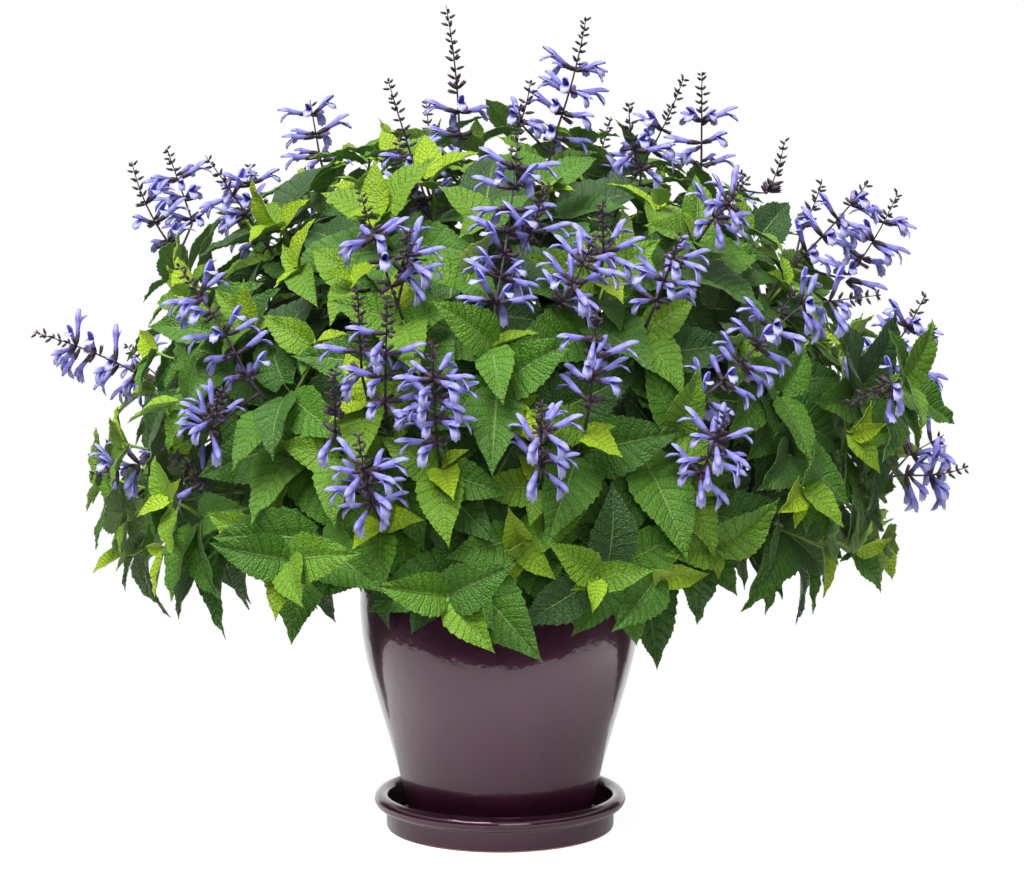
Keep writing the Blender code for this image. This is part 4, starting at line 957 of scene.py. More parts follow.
def leaf_tries(plan, shrinks, spread, middles):
    """The ways to hold a leaf, the largest first, with its middle this far from those of other leaves."""
    for shrink in shrinks:
        for yaw in YAW_TRIES:
            for lift in LIFT_TRIES:
                leaf = leaf_from(plan, yaw, lift, shrink)
                leaf.rank = plan["rank"]
                middle = leaf.on_blade(BLADE_MIDDLE, 0, 0)
                if all((middle - other).length >= spread for other in middles):
                    yield leaf, middle


def grow_leaves(shoots, room):
    """Large leaves first. Each tries a few ways to turn until it's clear of the rest, or is left off."""
    wanted = [(plan, shoot) for shoot in shoots for plan in shoot["plans"]]
    wanted.sort(key=lambda pair: -pair[0]["size"])
    middles = []
    for plan, shoot in wanted:
        for leaf, middle in leaf_tries(plan, SHRINK_TRIES, LEAF_SPREAD, middles):
            if room.take(shoot["node"], "leaf", leaf.shape(0.5), leaf.shape(0.0)):
                shoot["leaves"].append(leaf)
                shoot["grown"].add(plan["id"])
                middles.append(middle)
                break
    return middles


# %% The pot, which everything keeps clear of
TURN_STEPS = 24


def pot_skin():
    """The soil's top, the rolled rim and the pot's outside as one turned skin, for the test of room."""
    middle = POT_RIM_RADIUS - POT_RIM_ROUND
    rim = []
    for degrees in (180, 125, 70, 15, -40):
        angle = math.radians(degrees)
        across = middle + POT_RIM_ROUND * math.cos(angle)
        rim.append((across, POT_RIM_HEIGHT + POT_RIM_ROUND * math.sin(angle)))
    side = [(r * MM, z * MM) for r, z in reversed(POT_SIDE)]
    top = SOIL_LEVEL - 1 * MM
    rows = [(1 * MM, top), (rim[0][0], top)] + rim + [(POT_NECK[0] * MM, POT_NECK[1] * MM)] + side
    points = []
    for radius, height in rows:
        for turn in range(TURN_STEPS):
            angle = math.tau * turn / TURN_STEPS
            points.append(Vector((radius * math.cos(angle), radius * math.sin(angle), height)))
    faces = []
    for row in range(len(rows) - 1):
        for turn in range(TURN_STEPS):
            a = row * TURN_STEPS + turn
            b = row * TURN_STEPS + (turn + 1) % TURN_STEPS
            faces.append((a, b, b + TURN_STEPS, a + TURN_STEPS))
    return points, faces

# %% [markdown]
# ## Growing the plant
# First the racemes, stems and leaves of the solids are grown again, in the same order. Then the rule goes on
# with what the solids have no room for: further shoots, lower ranks of leaves, young leaves at every tip,
# old leaves along the shaded parts of the shoots, and open flowers where the solids have only a calyx.

# %% Grow what the solids have
room = Room()
room.add("pot", "wall", pot_skin())
sprays = grow_racemes(room)
shoots = grow_stems(sprays, room)
middles = grow_leaves(shoots, room)
print("racemes", len(sprays), "shoots", len(shoots), "leaves", sum(len(s["leaves"]) for s in shoots))

# %% Grow further shoots between the first ones
FURTHER_PLACES = 460
FURTHER_LOWEST = -0.3
FURTHER_HIGHEST = 0.99
FURTHER_SHARE = 0.92
FURTHER_SHARE_ON_TOP = 0.80
FURTHER_SPREAD = 62 * MM
LONGEST_FURTHER = 0.24
FURTHER_STARTS = (0.35, 0.5, 0.65, 0.8, 0.92)
CLIMB_WORTH = 1.6
FURTHER_RADIUS = 0.8
FURTHER_TESTED_RADIUS = 0.7
FURTHER_STEPS = 4


def nearest_start(end):
    """The shoot, and the share of it, from which a further shoot reaches this end best."""
    best = None
    for shoot in shoots:
        for share in FURTHER_STARTS:
            start = bezier(shoot["route"], share)
            climb = (end - start).normalized().dot(bezier_heading(shoot["route"], share))
            cost = (end - start).length * (CLIMB_WORTH - climb)
            if best is None or cost < best[0]:
                best = (cost, shoot, share)
    return best[1], best[2]


def grow_further_shoots():
    """Leafy side shoots at an even spread of places in the crown that have no shoot's end near."""
    ends = [shoot["route"][3] for shoot in shoots]
    grown = []
    for count in range(FURTHER_PLACES):
        rise = FURTHER_LOWEST + (FURTHER_HIGHEST - FURTHER_LOWEST) * (count + 0.5) / FURTHER_PLACES
        end = crown_place(count * GOLDEN_ANGLE, rise)
        share = FURTHER_SHARE + (FURTHER_SHARE_ON_TOP - FURTHER_SHARE) * max(rise, 0.0)
        end = Vector((end.x, end.y, end.z - CROWN_MIDDLE)) * (share / FILL_SHARE)
        end.z += CROWN_MIDDLE
        if min((end - other).length for other in ends) < FURTHER_SPREAD:
            continue
        parent, share = nearest_start(end)
        start = bezier(parent["route"], share)
        if (end - start).length > LONGEST_FURTHER:
            continue
        toward = (end - Vector((0, 0, HEADING_HEIGHT))).normalized()
        for bow in bows((end - start).length):
            route = side_route(parent["route"], share, end, toward, bow)
            places = [bezier(route, (k + 1) / FURTHER_STEPS) for k in range(FURTHER_STEPS)]
            shape = tube_shape(places, [SHOOT_RADIUS * FURTHER_TESTED_RADIUS] * FURTHER_STEPS)
            if room.take_close(parent["node"], "stalk", shape):
                ends.append(end)
                grown.append({"node": parent["node"], "name": "further %d" % count, "kind": "further",
                              "route": route, "radius": SHOOT_RADIUS * FURTHER_RADIUS, "grown": set()})
                break
    return grown


further = grow_further_shoots()
print("further shoots", len(further))

# %% How a further leaf is held
WELL_OUTSIDE = 2.0


def crown_share(place):
    """How far out of the crown's middle this place is, with 1 at its skin."""
    tall = CROWN_ABOVE if place.z > CROWN_MIDDLE else CROWN_BELOW
    x = place.x / CROWN_HALF_WIDTH
    y = place.y / CROWN_HALF_DEPTH
    return Vector((x, y, (place.z - CROWN_MIDDLE) / tall)).length


def held_leaf(plan, node, spread, shrinks, inside=WELL_OUTSIDE):
    """The first clear way to hold a further leaf with its tip inside this share of the crown."""
    for leaf, middle in leaf_tries(plan, shrinks, spread, middles):
        if crown_share(leaf.on_blade(1.0, 0, 0)) > inside:
            continue
        if room.take_close(node, "leaf", leaf.shape(0.5)):
            middles.append(middle)
            leaf.plain = False
            return leaf
    return None


# %% Lower ranks of leaves
MORE_SHRINKS = (0.95, 0.8, 0.66, 0.52)
MORE_SPREAD = 23 * MM
FURTHER_LEAF = 0.8


def further_leaves(shoot):
    """The leaves of every rank that the shoot doesn't have yet."""
    grown = []
    for plan in leaves_of(shoot):
        if plan["id"] in shoot["grown"]:
            continue
        if shoot["kind"] == "further":
            plan["size"] *= FURTHER_LEAF
        leaf = held_leaf(plan, shoot["node"], MORE_SPREAD, MORE_SHRINKS)
        if leaf:
            grown.append(leaf)
    return grown


# %% Young leaves
YOUNG_RANK = -1
YOUNG_LEAVES = 4
YOUNG_SIZES = (26, 52)
YOUNG_RISE = (25, 62)
YOUNG_PLACES = (1, 14)
YOUNG_SWING = 20
YOUNG_DROOP = (10, 40)
YOUNG_FOLD = (12, 28)
YOUNG_PETIOLE = 5 * MM
YOUNG_SPREAD = 9 * MM
YOUNG_SHRINKS = (1.0, 0.7)


def young_leaves(shoot):
    """Small leaves that stand up round the shoot's end."""
    draw = random.Random("young " + shoot["name"])
    route = shoot["route"]
    length = bezier_length(route)
    grown = []
    turn = draw.uniform(0, 360)
    for count in range(YOUNG_LEAVES):
        share = 1 - draw.uniform(*YOUNG_PLACES) * MM / length
        heading = bezier_heading(route, share)
        out = across_of(heading, Vector((0, 0, -1)))
        plan = {"root": bezier(route, share), "normal": heading, "downhill": out, "level": heading.cross(out),
                "yaw": turn + count * 360 / YOUNG_LEAVES + draw.uniform(-YOUNG_SWING, YOUNG_SWING),
                "lift": draw.uniform(*YOUNG_RISE), "size": draw.uniform(*YOUNG_SIZES) * MM,
                "droop": math.radians(draw.uniform(*YOUNG_DROOP)),
                "fold": math.radians(draw.uniform(*YOUNG_FOLD)),
                "petiole": YOUNG_PETIOLE, "rank": YOUNG_RANK, "heading": heading}
        leaf = held_leaf(plan, shoot["node"], YOUNG_SPREAD, YOUNG_SHRINKS)
        if leaf:
            grown.append(leaf)
    return grown


# %% Old leaves inside the crown
INNER_RANK = 5
INNER_LOWEST = 0.12
INNER_HIGHEST = 0.85
INNER_STEP = 32 * MM
INNER_ROUND = 3
INNER_LIFT = (-20, 40)
INNER_SIZES = (66, 98)
INNER_SPREAD = 39 * MM
INNER_SHRINKS = (1.0, 0.75)
INNER_SHARE = 0.93
INNER_TOP = 600 * MM
PLAIN_SHARE = 0.74


def inner_leaves(shoot):
    """Old leaves that hang along the shaded part of the shoot and close the view into the crown."""
    draw = random.Random("inner " + shoot["name"])
    route = shoot["route"]
    length = bezier_length(route)
    grown = []
    place = length * INNER_LOWEST
    while place < length * INNER_HIGHEST:
        root = bezier(route, place / length)
        if root.z > INNER_TOP:
            break
        normal = outward_normal(root)
        downhill = across_of(normal, Vector((0, 0, -1)))
        turn = draw.uniform(0, 360)
        for count in range(INNER_ROUND):
            plan = {"root": root, "normal": normal, "downhill": downhill, "level": normal.cross(downhill),
                    "yaw": turn + count * 360 / INNER_ROUND, "lift": draw.uniform(*INNER_LIFT),
                    "size": draw.uniform(*INNER_SIZES) * MM, "droop": math.radians(draw.uniform(*LEAF_DROOP)),
                    "fold": math.radians(draw.uniform(*LEAF_FOLD)),
                    "petiole": LONGEST_PETIOLE, "rank": INNER_RANK,
                    "heading": bezier_heading(route, place / length)}
            leaf = held_leaf(plan, shoot["node"], INNER_SPREAD, INNER_SHRINKS, INNER_SHARE)
            if leaf:
                leaf.plain = crown_share(leaf.on_blade(BLADE_MIDDLE, 0, 0)) < PLAIN_SHARE
                grown.append(leaf)
        place += INNER_STEP
    return grown


# %% Grow the further leaves, the young ones first
for grow in (young_leaves, further_leaves, inner_leaves):
    for shoot in sorted(shoots + further, key=lambda shoot: shoot["name"]):
        shoot.setdefault("more", []).extend(grow(shoot))
    print("with", grow.__name__, sum(len(shoot["more"]) for shoot in shoots + further))

# %% Open flowers where the solids have only a calyx, and add some between
EXTRA_TURN = math.pi / 3
EXTRA_TURN_SWING = 0.2
EXTRA_HANG = (-0.1, 0.5)
EXTRA_SHIFT = 5
EXTRA_SIZES = (0.8, 1.0)
EXTRA_LENGTHS = (0.75, 1.0)
EXTRA_OPEN_CHANCE = 0.75
EXTRA_SHUT_CHANCE = 0.8
UNTESTED_EXTRA_ROOT = 12 * MM


def opened_flowers():
    """Every member meant to be open is opened if the corolla has room. Its own calyx doesn't count."""
    opened = 0
    for spray in sprays.values():
        for member in list(spray["buds"]):
            if not member["open"]:
                continue
            rootless = floret_shape(member["root"], member["heading"], member["up"], member["size"],
                                    UNTESTED_FLOWER_ROOT)
            if room.take_close(spray["node"], "flower", rootless, member["kept"]):
                spray["buds"].remove(member)
                spray["florets"].append(member)
                opened += 1
    return opened


def extra_members():
    """Between the members of each whorl of the solids there is another, open or shut as there's room."""
    added = 0
    for spray in sprays.values():
        draw = random.Random("extra " + spray["name"])
        spray["extras"] = []
        for member in whorl_members(spray):
            rise = stalk_heading(spray, 0.5)
            turn = Quaternion(rise, EXTRA_TURN + draw.uniform(-EXTRA_TURN_SWING, EXTRA_TURN_SWING))
            heading = turn @ member["heading"] - Vector((0, 0, draw.uniform(*EXTRA_HANG)))
            heading.normalize()
            root = member["root"] + rise * draw.uniform(-EXTRA_SHIFT, EXTRA_SHIFT) * MM
            extra = {"root": root, "heading": heading, "up": across_of(heading, Vector((0, 0, 1))),
                     "size": draw.uniform(*EXTRA_SIZES),
                     "length": member["length"] * draw.uniform(*EXTRA_LENGTHS),
                     "open": member["open"] and draw.random() < EXTRA_OPEN_CHANCE}
            if extra["open"]:
                rootless = floret_shape(root, heading, extra["up"], extra["size"], UNTESTED_EXTRA_ROOT)
                extra["open"] = room.take_close(spray["node"], "flower", rootless)
            if extra["open"] or draw.random() < EXTRA_SHUT_CHANCE:
                spray["extras"].append(extra)
                added += extra["open"]
    return added


print("flowers opened", opened_flowers(), "and added", extra_members())

# %% [markdown]
# ## Templates
# A leaf, a flower or a bud is shaped once, as a flat grid or a plain tube that Blender's own operators make.
# A copy is then laid along each place of the plant by a formula, so every copy bends its own way and none is
# worked out face by face.

# %% The leaf's blade
LEAF_ROWS = 30
LEAF_COLUMNS = 6
SMALL_LEAF_ROWS = 20
SMALL_LEAF_COLUMNS = 4
PLAIN_LEAF_ROWS = 12
PLAIN_LEAF_COLUMNS = 2
COLUMN_CROWDING = 1.7
TOOTH_OUT = 0.05
TOOTH_IN = 0.035
TOOTH_AHEAD = 0.4


def finished_template(shaped):
    """Turns the faces outwards, smooths them and keeps the template as a mesh."""
    bmesh.ops.recalc_face_normals(shaped, faces=shaped.faces)
    for face in shaped.faces:
        face.smooth = True
    mesh = bpy.data.meshes.new("template")
    shaped.to_mesh(mesh)
    shaped.free()
    return mesh


def leaf_template(rows, columns):
    """A flat blade one long and two wide. Alternate rows of the edge stand out as teeth, towards the tip."""
    shaped = bmesh.new()
    bmesh.ops.create_grid(shaped, x_segments=rows, y_segments=columns, size=0.5)
    uv = shaped.loops.layers.uv.new("UVMap")
    for vert in shaped.verts:
        along = vert.co.x + 0.5
        across = abs(2 * vert.co.y) ** COLUMN_CROWDING
        if across > 0.99:
            tooth = round(along * rows) % 2
            across += TOOTH_OUT if tooth else -TOOTH_IN
            along = min(along + TOOTH_AHEAD / rows * tooth, 1.0)
        vert.co = (along, math.copysign(across, vert.co.y), 0)
    for face in shaped.faces:
        for loop in face.loops:
            loop[uv].uv = (loop.vert.co.x, 0.5 + 0.45 * loop.vert.co.y)
    top = list(shaped.faces)
    bmesh.ops.solidify(shaped, geom=top, thickness=1.0)
    under = shaped.verts.layers.float.new("under")
    shaped.verts.layers.float.new("age")
    shaped.normal_update()
    for vert in shaped.verts:
        vert[under] = 1.0 if abs(vert.co.z) > 0.5 else 0.0
    for edge in shaped.edges:
        flat = [abs(face.normal.z) > 0.5 for face in edge.link_faces]
        edge.smooth = len(flat) < 2 or flat[0] == flat[1]
    return finished_template(shaped)


leaf_mesh = leaf_template(LEAF_ROWS, LEAF_COLUMNS)
small_leaf_mesh = leaf_template(SMALL_LEAF_ROWS, SMALL_LEAF_COLUMNS)
plain_leaf_mesh = leaf_template(PLAIN_LEAF_ROWS, PLAIN_LEAF_COLUMNS)
print("leaf faces", [len(mesh.polygons) for mesh in (leaf_mesh, small_leaf_mesh, plain_leaf_mesh)])


# %% The tube that stems and flowers start from
def tube_template(sides, rings, capped=True):
    """A tube of radius one from 0 to 1 along Z, with this many rings between its ends."""
    shaped = bmesh.new()
    bmesh.ops.create_cone(shaped, cap_ends=capped, segments=sides, radius1=1, radius2=1, depth=1)
    bmesh.ops.translate(shaped, verts=shaped.verts, vec=(0, 0, 0.5))
    upright = [edge for edge in shaped.edges if abs(edge.verts[0].co.z - edge.verts[1].co.z) > 0.5]
    bmesh.ops.subdivide_edges(shaped, edges=upright, cuts=rings, use_grid_fill=True)
    return shaped


# %% [markdown]
# ## The flower's shape
# An open flower has a dark ribbed calyx, a pale blue tube that widens to the throat, a narrow hood over it
# and a broad lip of three lobes that hangs below. Tube, hood and lip could be modelled apart and joined.
# Here they're one open tube whose rings are moved, so that the petals are one skin with no seam, and
# solidify makes it a wall.

# %% The corolla, in millimetres along +X with the hood up
TUBE_START = 7
TUBE_START_HALF = 1.3
THROAT_RISE = 1.6
HOOD_RISE = 0.35
LIP_SWELL = 2.4
GAP_REACH = 1.5
THROAT = 23.5
THROAT_HALF = 2.9
HOOD_LENGTH = 16.5
HOOD_BEND = math.radians(50)
LIP_LENGTH = 17.0
LIP_BEND = math.radians(92)
COROLLA_SIDES = 12
COROLLA_RINGS = 4
TUBE_RINGS = 2
PETAL_THICKNESS = 0.45


def corolla_place(turn, ring):
    """Where the corner at this turn, 0 at the top, and this ring of the open tube goes."""
    up = math.cos(turn)
    aside = math.sin(turn)
    if ring <= TUBE_RINGS:
        share = ring / TUBE_RINGS
        x = TUBE_START + (THROAT - TUBE_START) * share
        half = TUBE_START_HALF + (THROAT_HALF - TUBE_START_HALF) * share ** 0.8
        return Vector((x, aside * half * 0.9, up * half * 1.1 + THROAT_RISE * share))
    share = (ring - TUBE_RINGS) / (COROLLA_RINGS + 1 - TUBE_RINGS)
    if up > 0.3:
        bend = HOOD_BEND * share
        round_by = HOOD_LENGTH / HOOD_BEND
        reach = round_by * math.sin(bend) * (1 - 0.13 * (1 - up) ** 1.2)
        rise = HOOD_RISE * HOOD_LENGTH * share - round_by * (1 - math.cos(bend))
        narrow = THROAT_HALF * (1.08 - 0.3 * share ** 3)
        z = THROAT_RISE + up * THROAT_HALF * (1.15 - 0.2 * share) + rise
        return Vector((THROAT + reach, aside * narrow, z))
    if up < -0.3:
        lobe = 1.0 if up < -0.95 else (0.86 if up < -0.7 else 0.95)
        bend = LIP_BEND * share
        round_by = LIP_LENGTH / LIP_BEND
        wide = THROAT_HALF * 0.9 + LIP_SWELL * math.sin(math.pi * 0.75 * share)
        x = THROAT + round_by * math.sin(bend) * lobe
        z = THROAT_RISE + up * THROAT_HALF * (1.1 - 0.5 * share) - round_by * (1 - math.cos(bend)) * lobe
        return Vector((x, aside * wide, z))
    wide = THROAT_HALF * (0.9 + 0.1 * share)
    return Vector((THROAT + GAP_REACH * share, aside * wide, THROAT_RISE + up * THROAT_HALF))


# %% A thin wall for an open tube
def thin_walled(shaped, place, thickness, last):
    """Gives an open tube a second skin, moves both to their place and sets the inner one back."""
    bmesh.ops.recalc_face_normals(shaped, faces=shaped.faces)
    bmesh.ops.solidify(shaped, geom=shaped.faces[:], thickness=0.2)
    skins = {}
    for vert in shaped.verts:
        ring = round(vert.co.z * last)
        turn = math.atan2(vert.co.x, vert.co.y)
        skins.setdefault((round(turn * 100), ring), []).append((vert.co.xy.length, vert))
        vert.co = place(turn, ring)
    shaped.normal_update()
    outer = {}
    for pair in skins.values():
        pair.sort(key=lambda item: item[0])
        outer[pair[0][1]] = pair[-1][1].normal.copy()
    for inner, normal in outer.items():
        inner.co -= normal * thickness
    return finished_template(shaped)


def corolla_template():
    shaped = tube_template(COROLLA_SIDES, COROLLA_RINGS, capped=False)
    uv = shaped.loops.layers.uv.new("UVMap")
    for face in shaped.faces:
        for loop in face.loops:
            loop[uv].uv = (loop.vert.co.z, 0.5 + 0.5 * loop.vert.co.y)
    return thin_walled(shaped, corolla_place, PETAL_THICKNESS, COROLLA_RINGS + 1)


# %% The calyx and the bud, in millimetres along +X
CALYX_SIDES = 8
CALYX_HALVES = (0.9, 1.9, 2.3, 2.2)
CALYX_PLACES = (0.8, 4.0, 9.5, 12.0)
CALYX_TOOTH = 3.0
CALYX_THICKNESS = 0.4


def calyx_place(turn, ring):
    """Every second rib of the bell stands out and ends in a tooth."""
    rib = round(turn / math.tau * CALYX_SIDES) % 2 == 0
    half = CALYX_HALVES[ring] * (1.1 if rib else 0.9)
    x = CALYX_PLACES[ring] + (CALYX_TOOTH if rib and ring == 3 else 0.0)
    return Vector((x, math.sin(turn) * half, math.cos(turn) * half))


def calyx_template():
    """A ribbed bell whose ribs end in short teeth."""
    last = len(CALYX_PLACES) - 1
    return thin_walled(tube_template(CALYX_SIDES, last - 1, capped=False), calyx_place, CALYX_THICKNESS, last)


def bud_template():
    """A closed bud, fullest near its base, one long and one across."""
    shaped = bmesh.new()
    bmesh.ops.create_icosphere(shaped, subdivisions=1, radius=0.5)
    for vert in shaped.verts:
        along = vert.co.z + 0.5
        full = 1.25 - 0.5 * along
        vert.co = (along, vert.co.x * full, vert.co.y * full)
    return finished_template(shaped)


corolla_mesh = corolla_template()
calyx_mesh = calyx_template()
bud_mesh = bud_template()
print("faces: corolla", len(corolla_mesh.polygons), "calyx", len(calyx_mesh.polygons),
      "bud", len(bud_mesh.polygons))


# %% [markdown]
# ## Copies of a template
# Each leaf of a sage droops, twists and waves in its own way, and its blade is puffed between sunk veins. A
# curve modifier on each copy could bend it, but a thousand modifiers would be slow. A formula moves the
# corners of each copy instead, and all the leaves of a stem share one mesh.

# %% Laying copies of a template
def lay(shaped, template, place, look, values=None):
    """Adds a copy of the template, moves each corner by place and gives it a material and its values."""
    before = len(shaped.verts)
    faces_before = len(shaped.faces)
    shaped.from_mesh(template)
    shaped.verts.ensure_lookup_table()
    shaped.faces.ensure_lookup_table()
    new = shaped.verts[before:]
    layers = [(shaped.verts.layers.float[key], value) for key, value in (values or {}).items()]
    for vert in new:
        for layer, value in layers:
            vert[layer] = value(vert.co) if callable(value) else value
        vert.co = place(vert.co)
    for face in shaped.faces[faces_before:]:
        face.material_index = look


# %% How a leaf is bent
VEIN_PAIRS = 10
VEIN_SWEEP = 0.17
BASE_LOBE = 0.075
PUFF = 2.0 * MM
PUFFED_LEAF = 0.09
BLADE_THICKNESS = 0.5 * MM
EDGE_WAVES = 2.2
EDGE_WAVE_HEIGHTS = (0.012, 0.03)
BLADE_TWIST = 0.22
TIP_ASIDE = 0.05


def leaf_place(leaf, draw):
    """Bends a blade to its leaf: sunk veins, puffed fields between them, a waved edge and a turned tip."""
    wave = draw.uniform(*EDGE_WAVE_HEIGHTS) * leaf.length
    phase = draw.uniform(0, math.tau)
    twist = draw.uniform(-BLADE_TWIST, BLADE_TWIST)
    aside = draw.uniform(-TIP_ASIDE, TIP_ASIDE) * leaf.length
    puff = PUFF * min(leaf.length / PUFFED_LEAF, 1.2)

    def place(co):
        spread = min(abs(co.y), 1.0)
        sweep = VEIN_SWEEP * math.sin(math.pi * min(co.x * 1.1, 1.0)) - BASE_LOBE * (1 - co.x) ** 7
        along = min(co.x + sweep * spread, 1.0)
        wide = leaf.half_width * blade_width(max(along, co.x * 0.5 + 0.012))
        wide = max(wide, (1.2 - 0.9 * co.x) * MM)
        across = co.y * wide
        field = 0.5 - 0.5 * math.cos(math.tau * co.x * VEIN_PAIRS)
        full = min(wide / (0.2 * leaf.half_width), 1.0)
        height = puff * full * (field * (0.4 + spread * (1 - spread) * 2.4) + min(spread * 6, 1.0) - 0.6)
        later = 1.3 if co.y > 0 else 0
        height += wave * spread ** 2 * math.sin(math.tau * EDGE_WAVES * co.x + phase + later) * full
        height += across * twist * (co.x - 0.3)
        height += co.z * BLADE_THICKNESS
        return leaf.on_blade(along, across + aside * co.x ** 2, height)

    return place

# %% [markdown]
# ## Materials
# The glaze is what the eye reads first on the pot: nearly black purple, with a thick clear coat over it that
# mirrors the pale table and the bright backdrop. Leaves change with age, from yellow-green at the tips to a
# dark grey-green below, and are paler beneath. Petals are lavender blue with a pale lip, and everything that
# carries them is nearly black. Painted images could give these colours, but nodes stay sharp at any
# distance, and each pattern keeps its real size in millimetres.

# %% One function that adds a node
# The setting that makes each kind of node what it is. It's written after a colon, as in Math:ADD.
MAIN_SETTINGS = {"Math": "operation", "Mix": "data_type", "MapRange": "interpolation_type",
                 "Attribute": "attribute_name", "UVMap": "uv_map"}


def from_hex(code):
    """An sRGB colour code as linear values."""
    values = [int(code[k:k + 2], 16) / 255 for k in (1, 3, 5)]
    return tuple(v / 12.92 if v < 0.04045 else ((v + 0.055) / 1.055) ** 2.4 for v in values) + (1.0,)


def fill(look, socket, value):
    """Links a node or one of its outputs to the socket, or sets the socket to a plain value."""
    if isinstance(value, bpy.types.Node):
        value = next(output for output in value.outputs if output.enabled)
    if isinstance(value, bpy.types.NodeSocket):
        look.node_tree.links.new(value, socket)
    else:
        socket.default_value = value


def add_node(look, kind, *values, stops=(), **named):
    """Adds a node. Values fill its sockets in turn, and stops are a ramp's places and colour codes."""
    kind, _, setting = kind.partition(":")
    node = look.node_tree.nodes.new("ShaderNode" + kind)
    if setting:
        setattr(node, MAIN_SETTINGS[kind], setting)
    sockets = [socket for socket in node.inputs if socket.enabled]
    for socket, value in zip(sockets, values):
        fill(look, socket, value)
    for name, value in named.items():
        fill(look, node.inputs[name.replace("_", " ")], value)
    if stops:
        elements = node.color_ramp.elements
        while len(elements) < len(stops):
            elements.new(0.5)
        for element, (place, code) in zip(elements, stops):
            element.position = place
            element.color = from_hex(code)
    return node


# %% A new material, and patterns in real sizes
def new_look(name, **settings):
    look = bpy.data.materials.new(name)
    look.use_nodes = True
    shader = look.node_tree.nodes["Principled BSDF"]
    for key, value in settings.items():
        shader.inputs[key.replace("_", " ")].default_value = value
    return look, shader


def own_place(look):
    """Places in metres on the object itself, which its patterns are laid on."""
    return add_node(look, "TexCoord").outputs["Object"]


def grain(look, size, detail=2.0, rough=0.5):
    """Noise whose lumps are this many metres across."""
    return add_node(look, "TexNoise", Vector=own_place(look), Scale=1 / size, Detail=detail, Roughness=rough)


def wavering(look, size, reach):
    """The same noise, on both sides of zero."""
    return add_node(look, "Math:MULTIPLY", add_node(look, "Math:SUBTRACT", grain(look, size), 0.5), reach)


def bumped(look, shader, height, strength, deep, *also):
    """A relief that only the light sees, on the shader's own normal and on any other that is named."""
    bump = add_node(look, "Bump", Strength=strength, Distance=deep, Height=height)
    for name in ("Normal", *also):
        fill(look, shader.inputs[name], bump)


# %% Glaze, bare clay and soil
BARE_CLAY_HEIGHT = 1.8 * MM


def glaze_look():
    """Fired aubergine glaze, a little browner where it runs thin. Its clear coat mirrors the room sharply."""
    look, shader = new_look("aubergine_glaze", Roughness=0.25, Coat_Weight=0.9, Coat_Roughness=0.03,
                            Coat_IOR=1.5, Specular_Tint=(1.0, 0.5, 0.72, 1))
    mottled = add_node(look, "ValToRGB", grain(look, 30 * MM, 4), stops=((0.3, "#2C0F1E"), (0.7, "#361527")))
    speckled = add_node(look, "ValToRGB", grain(look, 2 * MM, 2),
                        stops=((0.44, "#000000"), (0.62, "#FFFFFF")))
    thin = add_node(look, "Math:MULTIPLY", speckled, 0.05)
    glazed = add_node(look, "Mix:RGBA", thin, mottled, from_hex("#5A3646"))
    height = add_node(look, "SeparateXYZ", own_place(look)).outputs[2]
    bare = add_node(look, "Math:LESS_THAN", height, BARE_CLAY_HEIGHT)
    colour = add_node(look, "Mix:RGBA", bare, glazed, from_hex("#8A6A55"))
    fill(look, shader.inputs["Base Color"], colour)
    bumped(look, shader, grain(look, 14 * MM, 4), 0.9, 0.4 * MM, "Coat Normal")
    return look


def soil_look():
    """Damp peat, with lighter crumbs and fibres, which is quite matt."""
    look, shader = new_look("potting_soil", Roughness=0.95)
    fine = add_node(look, "ValToRGB", grain(look, 3 * MM, 6, 0.7),
                    stops=((0.3, "#1B120C"), (0.55, "#3A281B"), (0.75, "#6B5138")))
    fill(look, shader.inputs["Base Color"], fine)
    bumped(look, shader, grain(look, 2 * MM, 6, 0.7), 0.9, 1.5 * MM)
    return look


# %% Leaf
LEAF_AGES = ((0.0, "#ADCE10"), (0.25, "#82AD16"), (0.5, "#578B1A"), (0.75, "#3C691A"), (1.0, "#2D4F1C"))
NET_SIZE = 2.0 * MM
SIDE_VEIN_EDGE = (0.03, 0.11)
RIB_EDGE = (0.008, 0.022)


